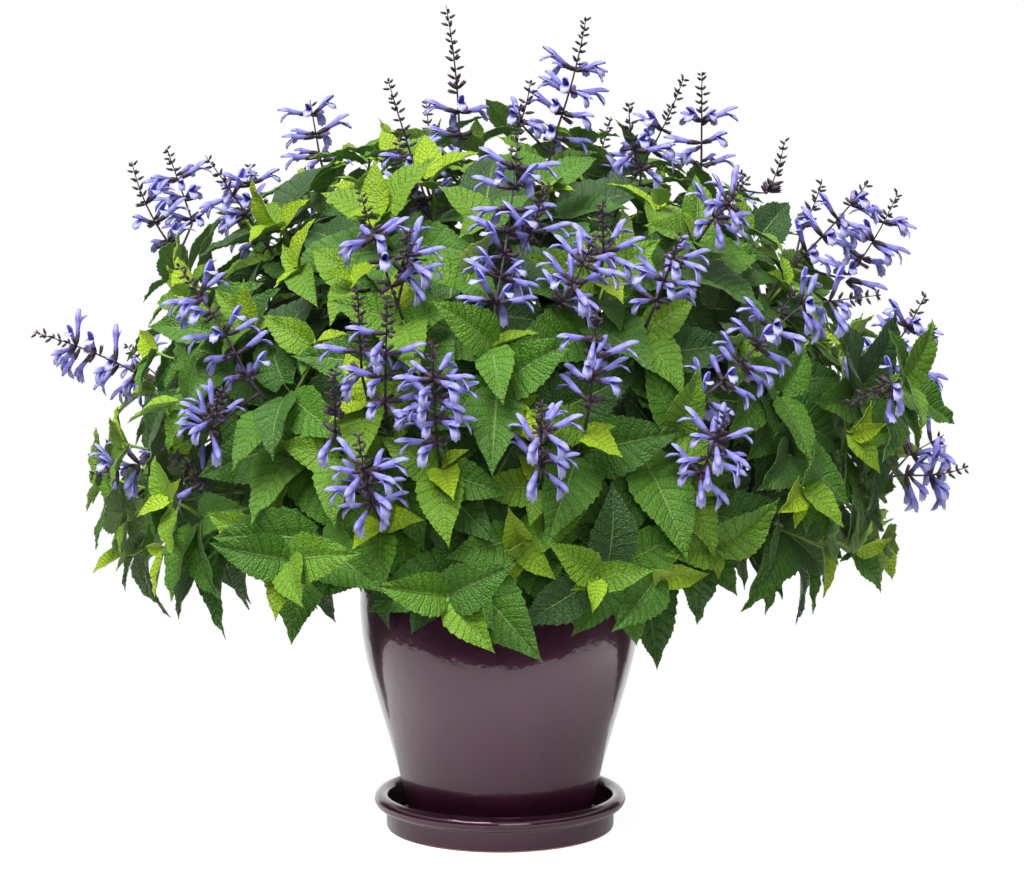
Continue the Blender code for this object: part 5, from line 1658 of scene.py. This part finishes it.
def leaf_look():
    """The rough, veined blade: yellow-green when young, dark grey-green when old, and pale beneath, with
    painted shade darkening its sunk side veins and the sunk net between its cells. A little light passes
    through it, which makes the young leaves shine."""
    look, shader = new_look("salvia_leaf", Roughness=0.45, Subsurface_Weight=0.15, Subsurface_Scale=2 * MM,
                            Subsurface_Radius=(0.5, 1.0, 0.15), Specular_IOR_Level=0.38, Sheen_Weight=0.05,
                            Sheen_Roughness=0.5)
    age = add_node(look, "Attribute:age").outputs["Fac"]
    under = add_node(look, "Attribute:under").outputs["Fac"]
    parts = add_node(look, "SeparateXYZ", add_node(look, "UVMap:UVMap"))
    aside = add_node(look, "Math:ABSOLUTE", add_node(look, "Math:SUBTRACT", parts.outputs[1], 0.5))
    counted = add_node(look, "Math:MULTIPLY", parts.outputs[0], VEIN_PAIRS)
    counted = add_node(look, "Math:ADD", counted, wavering(look, 6 * MM, 0.18))
    veins = add_node(look, "Math:PINGPONG", counted, 0.5)
    side_vein = add_node(look, "MapRange:SMOOTHSTEP", veins, *SIDE_VEIN_EDGE, 1.0, 0.0)
    rib = add_node(look, "MapRange:SMOOTHSTEP", aside, *RIB_EDGE, 1.0, 0.0)
    vein = add_node(look, "Math:MAXIMUM", side_vein, rib)
    blade = add_node(look, "ValToRGB", age, stops=LEAF_AGES)
    patches = add_node(look, "Math:MULTIPLY", grain(look, 25 * MM), 0.2)
    patchy = add_node(look, "Mix:RGBA", patches, blade, from_hex("#3F7020"))
    # Painted shade: the sunk side veins are darkened toward a deep green, as shade in their grooves.
    vein_groove_shade = add_node(look, "Mix:RGBA", 0.5, patchy, from_hex("#1C3312"))
    topside = add_node(look, "Mix:RGBA", add_node(look, "Math:MULTIPLY", side_vein, 0.4), patchy, vein_groove_shade)
    pale = add_node(look, "Math:MULTIPLY", rib, 0.6)
    topside = add_node(look, "Mix:RGBA", pale, topside, from_hex("#9DB86A"))
    # The net between the cells is sunk by the bump and also darkened in the colour: painted shade in its
    # grooves.
    cells = add_node(look, "TexVoronoi", Vector=own_place(look), Scale=1 / NET_SIZE)
    net = add_node(look, "MapRange", cells, From_Min=0.25, From_Max=0.75)
    dark = add_node(look, "Math:MULTIPLY", net, 0.3)
    topside = add_node(look, "Mix:RGBA", dark, topside, from_hex("#1B3A10"))
    beneath = add_node(look, "Mix:RGBA", 0.55, blade, from_hex("#9DB07F"))
    fill(look, shader.inputs["Base Color"], add_node(look, "Mix:RGBA", under, topside, beneath))
    raised = add_node(look, "Math:MULTIPLY", net, -0.5)
    height = add_node(look, "Math:SUBTRACT", raised, add_node(look, "Math:MULTIPLY", vein, 0.7))
    bumped(look, shader, height, 1.0, 1.2 * MM)
    return look


# %% Stem
def stem_look():
    """Square stems, a little glossy: green where they're young, dark purple-brown where they carry weight."""
    look, shader = new_look("salvia_stem", Roughness=0.5)
    age = add_node(look, "Attribute:age").outputs["Fac"]
    speckle = add_node(look, "Math:ADD", age, wavering(look, 5 * MM, 0.3))
    colour = add_node(look, "ValToRGB", speckle,
                      stops=((0.0, "#8DAE45"), (0.45, "#6B8138"), (0.75, "#46362B"), (1.0, "#33222A")))
    fill(look, shader.inputs["Base Color"], colour)
    bumped(look, shader, grain(look, 1.5 * MM), 0.3, 0.2 * MM)
    return look


# %% Petal and calyx
PETAL_COLOURS = ((0.0, "#7771C8"), (0.35, "#9A97EA"), (0.5, "#7C75D6"), (0.7, "#A29FF0"), (1.0, "#B1B0F6"))


def petal_look():
    """Lavender blue, with a darker throat and a paler lip. Light goes some way into it, as into any petal."""
    look, shader = new_look("blue_petal", Roughness=0.55, Subsurface_Weight=0.2, Subsurface_Scale=1.5 * MM,
                            Subsurface_Radius=(0.6, 0.5, 1.0))
    parts = add_node(look, "SeparateXYZ", add_node(look, "UVMap:UVMap"))
    along = parts.outputs[0]
    low = add_node(look, "Math:SUBTRACT", 1.0, parts.outputs[1])
    tube = add_node(look, "ValToRGB", along, stops=PETAL_COLOURS)
    beyond = add_node(look, "MapRange", along, From_Min=0.5, From_Max=0.75)
    beneath = add_node(look, "MapRange", low, From_Min=0.72, From_Max=0.98)
    lip = add_node(look, "Math:MULTIPLY", beyond, beneath)
    colour = add_node(look, "Mix:RGBA", add_node(look, "Math:MULTIPLY", lip, 0.5), tube, from_hex("#DADCFC"))
    patches = add_node(look, "Math:MULTIPLY", grain(look, 12 * MM), 0.25)
    tint = add_node(look, "Mix:RGBA", patches, colour, from_hex("#7A74D4"))
    fill(look, shader.inputs["Base Color"], tint)
    bumped(look, shader, grain(look, 1.2 * MM), 0.25, 0.2 * MM)
    return look


def calyx_look():
    """Nearly black purple, with a bloom of lighter violet, and matt from its short hairs."""
    look, shader = new_look("dark_calyx", Roughness=0.6, Specular_IOR_Level=0.4)
    colour = add_node(look, "ValToRGB", grain(look, 4 * MM, 3),
                      stops=((0.3, "#2E2230"), (0.55, "#493948"), (0.8, "#6B5A6C")))
    fill(look, shader.inputs["Base Color"], colour)
    bumped(look, shader, grain(look, 0.8 * MM), 0.5, 0.2 * MM)
    return look


# %% The six materials
glaze = glaze_look()
soil = soil_look()
leaf_green = leaf_look()
stem_skin = stem_look()
petal = petal_look()
calyx_dark = calyx_look()
print("materials", [look.name for look in (glaze, soil, leaf_green, stem_skin, petal, calyx_dark)])

# %% [markdown]
# ## Pot, saucer and soil
# A potter turns these, and so does spin: one outline is carried round the axis. A Screw modifier would do
# the same, but after a spin the seam and the middle can be welded at once. The outlines are those of the
# solids, with the rolled rim and lip drawn with more points so that the gloss runs smoothly round them.

# %% Turned pieces
FINE_STEPS = 96
SEAM_GAP = 0.00002


def smooth_outline(points, rounds):
    """The outline's points, with each round part as an arc: middle, radius, first and last angle, steps."""
    drawn = []
    for item in points:
        if isinstance(item, str):
            middle, radius, first, last, steps = rounds[item]
            for k in range(steps + 1):
                angle = math.radians(first + (last - first) * k / steps)
                drawn.append((middle[0] + radius * math.cos(angle), middle[1] + radius * math.sin(angle)))
        else:
            drawn.append(item)
    return drawn


def spun(name, outline, closed, look, sharp=30):
    """Spins the outline round the axis and welds the seam and the middle."""
    shaped = bmesh.new()
    verts = [shaped.verts.new((x, 0, z)) for x, z in outline]
    edges = [shaped.edges.new(pair) for pair in zip(verts, verts[1:])]
    if closed:
        edges.append(shaped.edges.new((verts[-1], verts[0])))
    bmesh.ops.spin(shaped, geom=verts + edges, axis=(0, 0, 1), cent=(0, 0, 0), steps=FINE_STEPS,
                   angle=math.tau, use_merge=True)
    bmesh.ops.remove_doubles(shaped, verts=shaped.verts, dist=SEAM_GAP)
    bmesh.ops.recalc_face_normals(shaped, faces=shaped.faces)
    for face in shaped.faces:
        face.smooth = True
    for edge in shaped.edges:
        edge.smooth = len(edge.link_faces) < 2 or edge.calc_face_angle(0) < math.radians(sharp)
    return piece_from(name, shaped, [look])


def piece_from(name, shaped, looks):
    """Turns a working mesh into a piece that stands for nothing yet."""
    mesh = bpy.data.meshes.new(name)
    shaped.to_mesh(mesh)
    shaped.free()
    for look in looks:
        mesh.materials.append(look)
    piece = bpy.data.objects.new(name, mesh)
    bpy.context.scene.collection.objects.link(piece)
    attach(piece, "root")
    return piece


def eased(points, times):
    """Corners of a line cut again and again, which rounds it. The ends stay."""
    for _ in range(times):
        cut = [points[0]]
        for (x0, z0), (x1, z1) in zip(points, points[1:]):
            cut.append((x0 * 0.75 + x1 * 0.25, z0 * 0.75 + z1 * 0.25))
            cut.append((x0 * 0.25 + x1 * 0.75, z0 * 0.25 + z1 * 0.75))
        points = cut + [points[-1]]
    return points


# %% Pot and saucer
FOOT_ROUND = 4 * MM
SAUCER_FOOT_ROUND = 2.5 * MM


def pot_piece():
    """The pot, glazed inside and out, with its rolled rim, the dip under it and the drain hole."""
    middle = POT_RIM_RADIUS - POT_RIM_ROUND
    foot = SAUCER_FLOOR + SEAT_GAP
    side = eased([(r * MM, z * MM) for r, z in reversed(POT_SIDE)], 2)
    inside = [(r * MM - POT_WALL, z * MM) for r, z in POT_SIDE[1:]]
    neck = POT_NECK[0] * MM
    base = POT_SIDE[0][0] * MM
    rounds = {"rim": ((middle, POT_RIM_HEIGHT), POT_RIM_ROUND, 180, -50, 16),
              "foot": ((base - FOOT_ROUND, foot + FOOT_ROUND), FOOT_ROUND, 0, -90, 5)}
    under_rim = [(neck + 0.6 * MM, 252.5 * MM), (neck, 250.5 * MM), (neck + 1.2 * MM, 247 * MM)]
    under = [(DRAIN_RADIUS, foot), (DRAIN_RADIUS, foot + POT_FLOOR), (base - POT_WALL, foot + POT_FLOOR)]
    outline = smooth_outline(["rim"] + under_rim + side[:-1] + ["foot"] + under + inside, rounds)
    piece = spun("pot_glazed", outline, True, glaze)
    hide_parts("pot")
    return piece


def saucer_piece():
    """The saucer, from the middle of its floor over the rolled lip and down to its flat underside."""
    middle = SAUCER_RADIUS - SAUCER_LIP_ROUND
    height = SAUCER_HEIGHT - SAUCER_LIP_ROUND
    side = SAUCER_BODY_RADIUS
    rounds = {"lip": ((middle, height), SAUCER_LIP_ROUND, 180, -90, 16),
              "foot": ((side - SAUCER_FOOT_ROUND, SAUCER_FOOT_ROUND), SAUCER_FOOT_ROUND, 0, -90, 4)}
    outline = smooth_outline(
        [(0, SAUCER_FLOOR), (middle - SAUCER_LIP_ROUND - 8 * MM, SAUCER_FLOOR),
         (middle - SAUCER_LIP_ROUND - 3 * MM, SAUCER_FLOOR + 2 * MM),
         (middle - SAUCER_LIP_ROUND, SAUCER_FLOOR + 9 * MM), "lip",
         (side + 1.2 * MM, height - 8.4 * MM), (side, height - 10 * MM), "foot", (0, 0)], rounds)
    piece = spun("saucer_glazed", outline, False, glaze)
    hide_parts("saucer")
    return piece


# %% Soil
SOIL_RINGS = 40
SOIL_DOME = 2 * MM
CRUMB_SIZES = (9 * MM, 4 * MM)
CRUMB_HEIGHT = 2.2 * MM


def soil_piece():
    """A lump of peat that fills the pot, with a crumbled top."""
    wall = POT_WALL + SEAT_GAP
    floor = SAUCER_FLOOR + SEAT_GAP + POT_FLOOR + SEAT_GAP
    top = POT_SIDE[5][0] * MM - wall
    shares = [k / SOIL_RINGS for k in range(SOIL_RINGS)]
    surface = [(top * share, SOIL_LEVEL - SOIL_DOME * share ** 2) for share in shares]
    side = [(POT_SIDE[k][0] * MM - wall, POT_SIDE[k][1] * MM) for k in (5, 4, 3, 2, 1, 0)]
    side[0] = (top - 0.5 * MM, SOIL_LEVEL - SOIL_DOME)
    outline = surface + side[:-1] + [(side[-1][0], floor), (0, floor)]
    piece = spun("soil_crumbled", outline, False, soil, sharp=60)
    for vert in piece.data.vertices:
        if vert.co.z > SOIL_LEVEL - 3 * MM and vert.co.xy.length < top - 2 * MM:
            crumbs = noise.noise(vert.co / CRUMB_SIZES[0]) + 0.6 * noise.noise(vert.co / CRUMB_SIZES[1])
            vert.co.z += crumbs * CRUMB_HEIGHT
    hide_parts("soil")
    return piece


for piece in (pot_piece(), saucer_piece(), soil_piece()):
    print(piece.name, len(piece.data.polygons), "faces")

# %% [markdown]
# ## Stems and leaves
# A sage's stems are square, and each leaf hangs on a petiole that runs on under the blade as the raised
# midrib. A particle system could strew the leaves, but it wouldn't keep them where the solids have theirs.
# So the growing rule's own places are used. Each stem piece keeps its solid's shoots and leaves, and the
# leaves that the solids don't have are a piece of their own for each stem.

# %% Tubes for stems and petioles
LEAF = 0
STEM = 1
AGE_OF_RANK = {-1: 0.05, 0: 0.42, 1: 0.62, 2: 0.78, 3: 0.86, 4: 0.92, 5: 0.95}


def prepared_tube(sides, rings):
    shaped = tube_template(sides, rings)
    shaped.verts.layers.float.new("under")
    shaped.verts.layers.float.new("age")
    return finished_template(shaped)


stem_tube = prepared_tube(8, 14)
slim_stem_tube = prepared_tube(4, 6)
petiole_tube = prepared_tube(5, 5)
slim_petiole_tube = prepared_tube(3, 3)


print("stem faces", len(stem_tube.polygons), "petiole faces", len(petiole_tube.polygons))


# %% How stems and petioles run
STEM_SUNK_SHARE = 0.07
STEM_SLIMMER = 0.92
RIB_REACH = 1.3
RIB_DROP = 0.5 * MM


def plane_normal(route):
    """A direction that no part of this bent line runs along."""
    normal = (route[1] - route[0]).cross(route[3] - route[0])
    if normal.length < 1e-7:
        normal = (route[3] - route[0]).orthogonal()
    return normal.normalized()


def tube_place(centre, heading, hint, radius):
    """Lays a straight tube along a line, by its centre, heading and radius at each share."""
    def place(co):
        share = co.z
        ahead = heading(share)
        side = across_of(ahead, hint)
        other = ahead.cross(side)
        return centre(share) + (side * co.x + other * co.y) * radius(share)
    return place


def stem_place(shoot):
    route = shoot["route"]
    sunk = STEM_SUNK_SHARE if shoot["kind"] == "main" else 0.0

    def centre(share):
        if share < sunk:
            return route[0] - Vector((0, 0, (1 - share / sunk) * (FOOT_DEPTH - 1 * MM)))
        return bezier(route, (share - sunk) / (1 - sunk))

    def heading(share):
        return bezier_heading(route, max((share - sunk) / (1 - sunk), 0.0))

    def radius(share):
        return (shoot["radius"] + (STALK_RADIUS - shoot["radius"]) * share) * STEM_SLIMMER

    return tube_place(centre, heading, plane_normal(route), radius)


def petiole_place(leaf):
    """From the stem to the blade, and on under it as the raised midrib."""
    middle = leaf.root.lerp(leaf.base, 0.55) - leaf.normal * (leaf.base - leaf.root).length * 0.06
    slim = min(max(leaf.length / 0.1, 0.45), 1.0)

    def place(co):
        if co.z < 0.5:
            share = co.z * 2
            back = 1 - share
            centre = leaf.root * back ** 2 + middle * 2 * back * share + leaf.base * share ** 2
            ahead = ((middle - leaf.root) * back + (leaf.base - middle) * share).normalized()
        else:
            along = (co.z - 0.5) * RIB_REACH
            centre = leaf.on_blade(along, 0, -BLADE_THICKNESS - RIB_DROP)
            ahead = (leaf.on_blade(along + 0.02, 0, 0) - leaf.on_blade(along, 0, 0)).normalized()
        radius = (1.35 - 1.05 * co.z) * slim * MM
        up = across_of(ahead, leaf.normal)
        return centre + (leaf.side * co.x + up * co.y) * radius

    return place


# %% Leafy stems
AGE_SWING = 0.16
OLDER_WHEN_LOW = 0.1


def add_leaf(shaped, leaf, template, draw, low):
    """One leaf with its petiole. Leaves near the ground are older."""
    age = AGE_OF_RANK[leaf.rank] + draw.uniform(-AGE_SWING, AGE_SWING) + low
    age = min(max(age, 0.0), 1.0)
    lay(shaped, template, leaf_place(leaf, draw), LEAF, {"age": age})
    tube = petiole_tube if template is leaf_mesh else slim_petiole_tube
    lay(shaped, tube, petiole_place(leaf), STEM, {"age": 0.1 + age * 0.35})


def layered_mesh():
    """An empty working mesh with the layers that the leaf's and the stem's looks read."""
    shaped = bmesh.new()
    shaped.loops.layers.uv.new("UVMap")
    for layer in ("under", "age"):
        shaped.verts.layers.float.new(layer)
    return shaped


def stem_piece(name):
    """The stem, its shoots and the leaves that its solid has."""
    shaped = layered_mesh()
    draw = random.Random("look of " + name)
    for shoot in shoots:
        if shoot["node"] != name:
            continue
        older = 1.0 if shoot["kind"] == "main" else 0.75
        lay(shaped, stem_tube, stem_place(shoot), STEM, {"age": lambda co: older - 0.45 * co.z})
        low = OLDER_WHEN_LOW if shoot["kind"] == "low" else 0.0
        for leaf in shoot["leaves"]:
            add_leaf(shaped, leaf, leaf_mesh, draw, low)
    piece = piece_from(name + "_leaves", shaped, [leaf_green, stem_skin])
    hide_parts(name)
    return piece


def more_leaves_piece(name):
    """The leaves that the solids have no room for, and the further shoots that carry some of them."""
    shaped = layered_mesh()
    draw = random.Random("more look of " + name)
    for shoot in shoots + further:
        if shoot["node"] != name:
            continue
        if shoot["kind"] == "further":
            lay(shaped, slim_stem_tube, stem_place(shoot), STEM, {"age": lambda co: 0.5 - 0.4 * co.z})
        for leaf in shoot["more"]:
            plain = leaf.plain or leaf.length < YOUNG_SIZES[1] * MM
            add_leaf(shaped, leaf, plain_leaf_mesh if plain else small_leaf_mesh, draw, 0.0)
    return piece_from(name + "_more_leaves", shaped, [leaf_green, stem_skin])


for name in stem_names():
    first = stem_piece(name)
    more = more_leaves_piece(name)
    print(first.name, len(first.data.polygons), "faces, more leaves", len(more.data.polygons), "faces")

# %% [markdown]
# ## Flowers
# A raceme opens from below: blue flowers in their dark calyces at its foot, then calyces that are still
# shut, then ever smaller buds to the tip. One raceme could be modelled and copied, but they differ in
# length, bend and bloom, so each is laid along its own stalk.

# %% Flower stalks
CALYX = 0
PETAL = 1

stalk_tube = finished_template(tube_template(6, 12))


def member_place(member, size):
    """From the flower's own millimetres to the plant."""
    heading, up = member["heading"], member["up"]
    side = heading.cross(up)

    def place(co):
        return member["root"] + (heading * co.x + side * co.y + up * co.z) * (size * MM)

    return place


def stalk_place(spray):
    """The stalk from its foot to the tip of the buds."""
    foot_share = (spray["base"] - spray["foot"]).length
    foot_share /= foot_share + (spray["tip"] - spray["base"]).length
    rise = (spray["base"] - spray["foot"]).normalized()
    hint = rise.cross(spray["tip"] - spray["base"])
    if hint.length < 1e-6:
        hint = rise.orthogonal()

    def centre(share):
        if share < foot_share:
            return spray["foot"].lerp(spray["base"], share / foot_share)
        return stalk_point(spray, (share - foot_share) / (1 - foot_share))

    def heading(share):
        if share < foot_share:
            return rise
        return stalk_heading(spray, (share - foot_share) / (1 - foot_share))

    def radius(share):
        return (1.5 - 1.05 * share) * MM

    return tube_place(centre, heading, hint, radius)


# %% Buds at the tip
BUD_RING_STEP = (11.5, 6.5)
BUD_LENGTHS = (13.5, 6.5)
BUDS_ROUND = 3
FIRST_BUDS = 8 * MM
BUD_TURN_SWING = 0.3
BUD_TIP_CLIMB = (0.2, 0.9)
BUD_SHIFT = 2.0
BUD_SIZE_SWING = (0.85, 1.15)


def bud_rings(spray):
    """The closed buds between the last whorl and the tip, in ever closer rings."""
    draw = random.Random("buds " + spray["name"])
    length = (spray["tip"] - spray["base"]).length
    share = whorl_shares(spray)[-1] + FIRST_BUDS / length
    turn = draw.uniform(0, math.tau)
    while share < 1.0:
        rise = stalk_heading(spray, share)
        side = across_of(rise, Vector((0.3, 0.2, 1)))
        other = rise.cross(side)
        turn += math.pi / BUDS_ROUND
        size = BUD_LENGTHS[0] + (BUD_LENGTHS[1] - BUD_LENGTHS[0]) * share
        for k in range(BUDS_ROUND):
            angle = turn + math.tau * k / BUDS_ROUND + draw.uniform(-BUD_TURN_SWING, BUD_TURN_SWING)
            out = side * math.cos(angle) + other * math.sin(angle)
            heading = (out + rise * draw.uniform(*BUD_TIP_CLIMB)).normalized()
            root = stalk_point(spray, share + draw.uniform(-BUD_SHIFT, BUD_SHIFT) * MM / length)
            member = {"root": root, "heading": heading, "up": across_of(heading, rise)}
            yield member, size * draw.uniform(*BUD_SIZE_SWING)
        share += (BUD_RING_STEP[0] + (BUD_RING_STEP[1] - BUD_RING_STEP[0]) * share) * MM / length


def bud_place(member, length, wide):
    """From the bud's own shape to the plant, this long and wide in millimetres."""
    heading, up = member["heading"], member["up"]
    side = heading.cross(up)

    def place(co):
        return member["root"] + (heading * (0.5 + co.x * length) + (side * co.y + up * co.z) * wide) * MM

    return place


# %% Racemes
SHUT_LENGTH = 15
SHUT_WIDTH = 3.6


def spray_piece(node):
    """The racemes of one node: stalks, calyces, open flowers and buds."""
    shaped = bmesh.new()
    shaped.loops.layers.uv.new("UVMap")
    for spray in sprays.values():
        if spray["node"] != node:
            continue
        lay(shaped, stalk_tube, stalk_place(spray), CALYX)
        closed = spray["buds"] + [extra for extra in spray["extras"] if not extra["open"]]
        for member in spray["florets"] + [extra for extra in spray["extras"] if extra["open"]]:
            lay(shaped, calyx_mesh, member_place(member, member["size"]), CALYX)
            lay(shaped, corolla_mesh, member_place(member, member["size"]), PETAL)
        for member in closed:
            size = member["length"] / CALYX_LENGTH
            lay(shaped, calyx_mesh, member_place(member, size), CALYX)
            look = PETAL if member["open"] else CALYX
            lay(shaped, bud_mesh, bud_place(member, SHUT_LENGTH * size, SHUT_WIDTH * size), look)
        for member, size in bud_rings(spray):
            lay(shaped, bud_mesh, bud_place(member, size, 1.3 + size * 0.2), CALYX)
    piece = piece_from(node + "_flowers", shaped, [calyx_dark, petal])
    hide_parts(node)
    return piece


flowering = [spray_piece(node) for node in sorted({spray["node"] for spray in sprays.values()})]
print("flowering pieces", len(flowering), "faces", sum(len(piece.data.polygons) for piece in flowering))

# %% [markdown]
# ## Studio
# The plant stands on a pale table in a studio with a white backdrop and ceiling. A plain white sky would
# light it too, but the glaze mirrors what stands round it: the oval table gives the pot its broad mauve
# patch with an upper edge, the dark studio the bands round the patch, and the backdrop the bright edges. The
# table glows far more for the camera than for the plant, so leaves keep their shadows.

# %% The table, as the stage
TABLE_WIDTH = 1.5
TABLE_FRONT = 0.46
TABLE_BACK = 0.2
TABLE_GLOW = 0.85
TABLE_GLOW_ON_THINGS = 0.2
TABLE_DROP = 0.2 * MM

shaped = bmesh.new()
bmesh.ops.create_circle(shaped, cap_ends=True, segments=96, radius=1)
bmesh.ops.scale(shaped, verts=shaped.verts, vec=(TABLE_WIDTH / 2, TABLE_FRONT, 1))
bmesh.ops.bisect_plane(shaped, geom=shaped.verts[:] + shaped.edges[:] + shaped.faces[:],
                       plane_co=(0, TABLE_BACK, 0), plane_no=(0, 1, 0), clear_outer=True)
bmesh.ops.translate(shaped, verts=shaped.verts, vec=(0, 0, -TABLE_DROP))
floor_mesh = bpy.data.meshes.new("floor")
shaped.to_mesh(floor_mesh)
shaped.free()
floor_look, floor_shader = new_look("pale_floor", Roughness=0.9, Base_Color=from_hex("#F8F8F8"),
                                    Specular_IOR_Level=0.1, Emission_Color=(1, 1, 1, 1))
seen = add_node(floor_look, "LightPath").outputs["Is Camera Ray"]
glow = add_node(floor_look, "Mix", seen, TABLE_GLOW_ON_THINGS, TABLE_GLOW)
fill(floor_look, floor_shader.inputs["Emission Strength"], glow)
floor_mesh.materials.append(floor_look)
floor = bpy.data.objects.new("floor", floor_mesh)
bpy.context.scene.collection.objects.link(floor)
floor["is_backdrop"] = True
print("table faces", len(floor_mesh.polygons))

# %% The room
ROOM_BRIGHTNESS = 1.0
ROOM_ON_THE_PLANT = 0.18
DARK_STUDIO = 0.03
BACKDROP_EDGE = (0.74, 0.8)
CEILING_EDGE = (0.3, 0.6)


def white_room():
    """A white backdrop and ceiling in a dark studio. Matt surfaces get an even, dimmer light."""
    world = bpy.data.worlds.new("white_room")
    world.use_nodes = True
    background = world.node_tree.nodes["Background"]
    background.inputs["Color"].default_value = (1, 1, 1, 1)
    path = add_node(world, "LightPath")
    direction = add_node(world, "SeparateXYZ", add_node(world, "TexCoord"))
    sides = []
    for part, edge in ((1, BACKDROP_EDGE), (2, CEILING_EDGE)):
        side = direction.outputs[part]
        sides.append(add_node(world, "MapRange", side, *edge, DARK_STUDIO, ROOM_BRIGHTNESS))
    mirrored = add_node(world, "Math:MAXIMUM", *sides)
    seen = add_node(world, "Mix", path.outputs["Is Glossy Ray"], ROOM_BRIGHTNESS, mirrored)
    strength = add_node(world, "Mix", path.outputs["Is Diffuse Ray"], seen, ROOM_ON_THE_PLANT)
    fill(world, background.inputs["Strength"], strength)
    bpy.context.scene.world = world


white_room()
bpy.context.scene.view_settings.view_transform = "Standard"

# %% Sun through silk, a front light and the camera
SUN_STRENGTH = 4.9
SUN_SPREAD = math.radians(40)
CAMERA_AIM = (0.012, 0, 0.3945)
CAMERA_LENS = 81
CAMERA_SENSOR = 36


def aimed(name, data, place, aim):
    """Stands a light or the camera at its place and turns it to its aim."""
    thing = bpy.data.objects.new(name, data)
    thing.location = place
    thing.rotation_mode = "QUATERNION"
    thing.rotation_quaternion = (Vector(aim) - Vector(place)).to_track_quat("-Z", "Y")
    bpy.context.scene.collection.objects.link(thing)
    return thing


sun = bpy.data.lights.new("sun_through_silk", "SUN")
sun.energy = SUN_STRENGTH
sun.angle = SUN_SPREAD
aimed("sun_through_silk", sun, (-0.8, -1.5, 2.4), (0, 0, 0))
front = bpy.data.lights.new("front", "AREA")
front.shape = "RECTANGLE"
front.size = 1.6
front.size_y = 1.2
front.energy = 25
aimed("front", front, (0.7, -3.4, 1.1), (0, 0, 0.3))
camera_data = bpy.data.cameras.new("front_view")
camera_data.lens = CAMERA_LENS
camera_data.sensor_width = CAMERA_SENSOR
bpy.context.scene.camera = aimed("front_view", camera_data, (0, -EYE_DISTANCE, EYE_HEIGHT), CAMERA_AIM)
print("lens in mm", CAMERA_LENS, "and distance in m", EYE_DISTANCE)

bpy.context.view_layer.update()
triangles = sum(len(p.vertices) - 2 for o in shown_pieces() if o.type == "MESH" for p in o.data.polygons)
print("triangles in all", triangles)
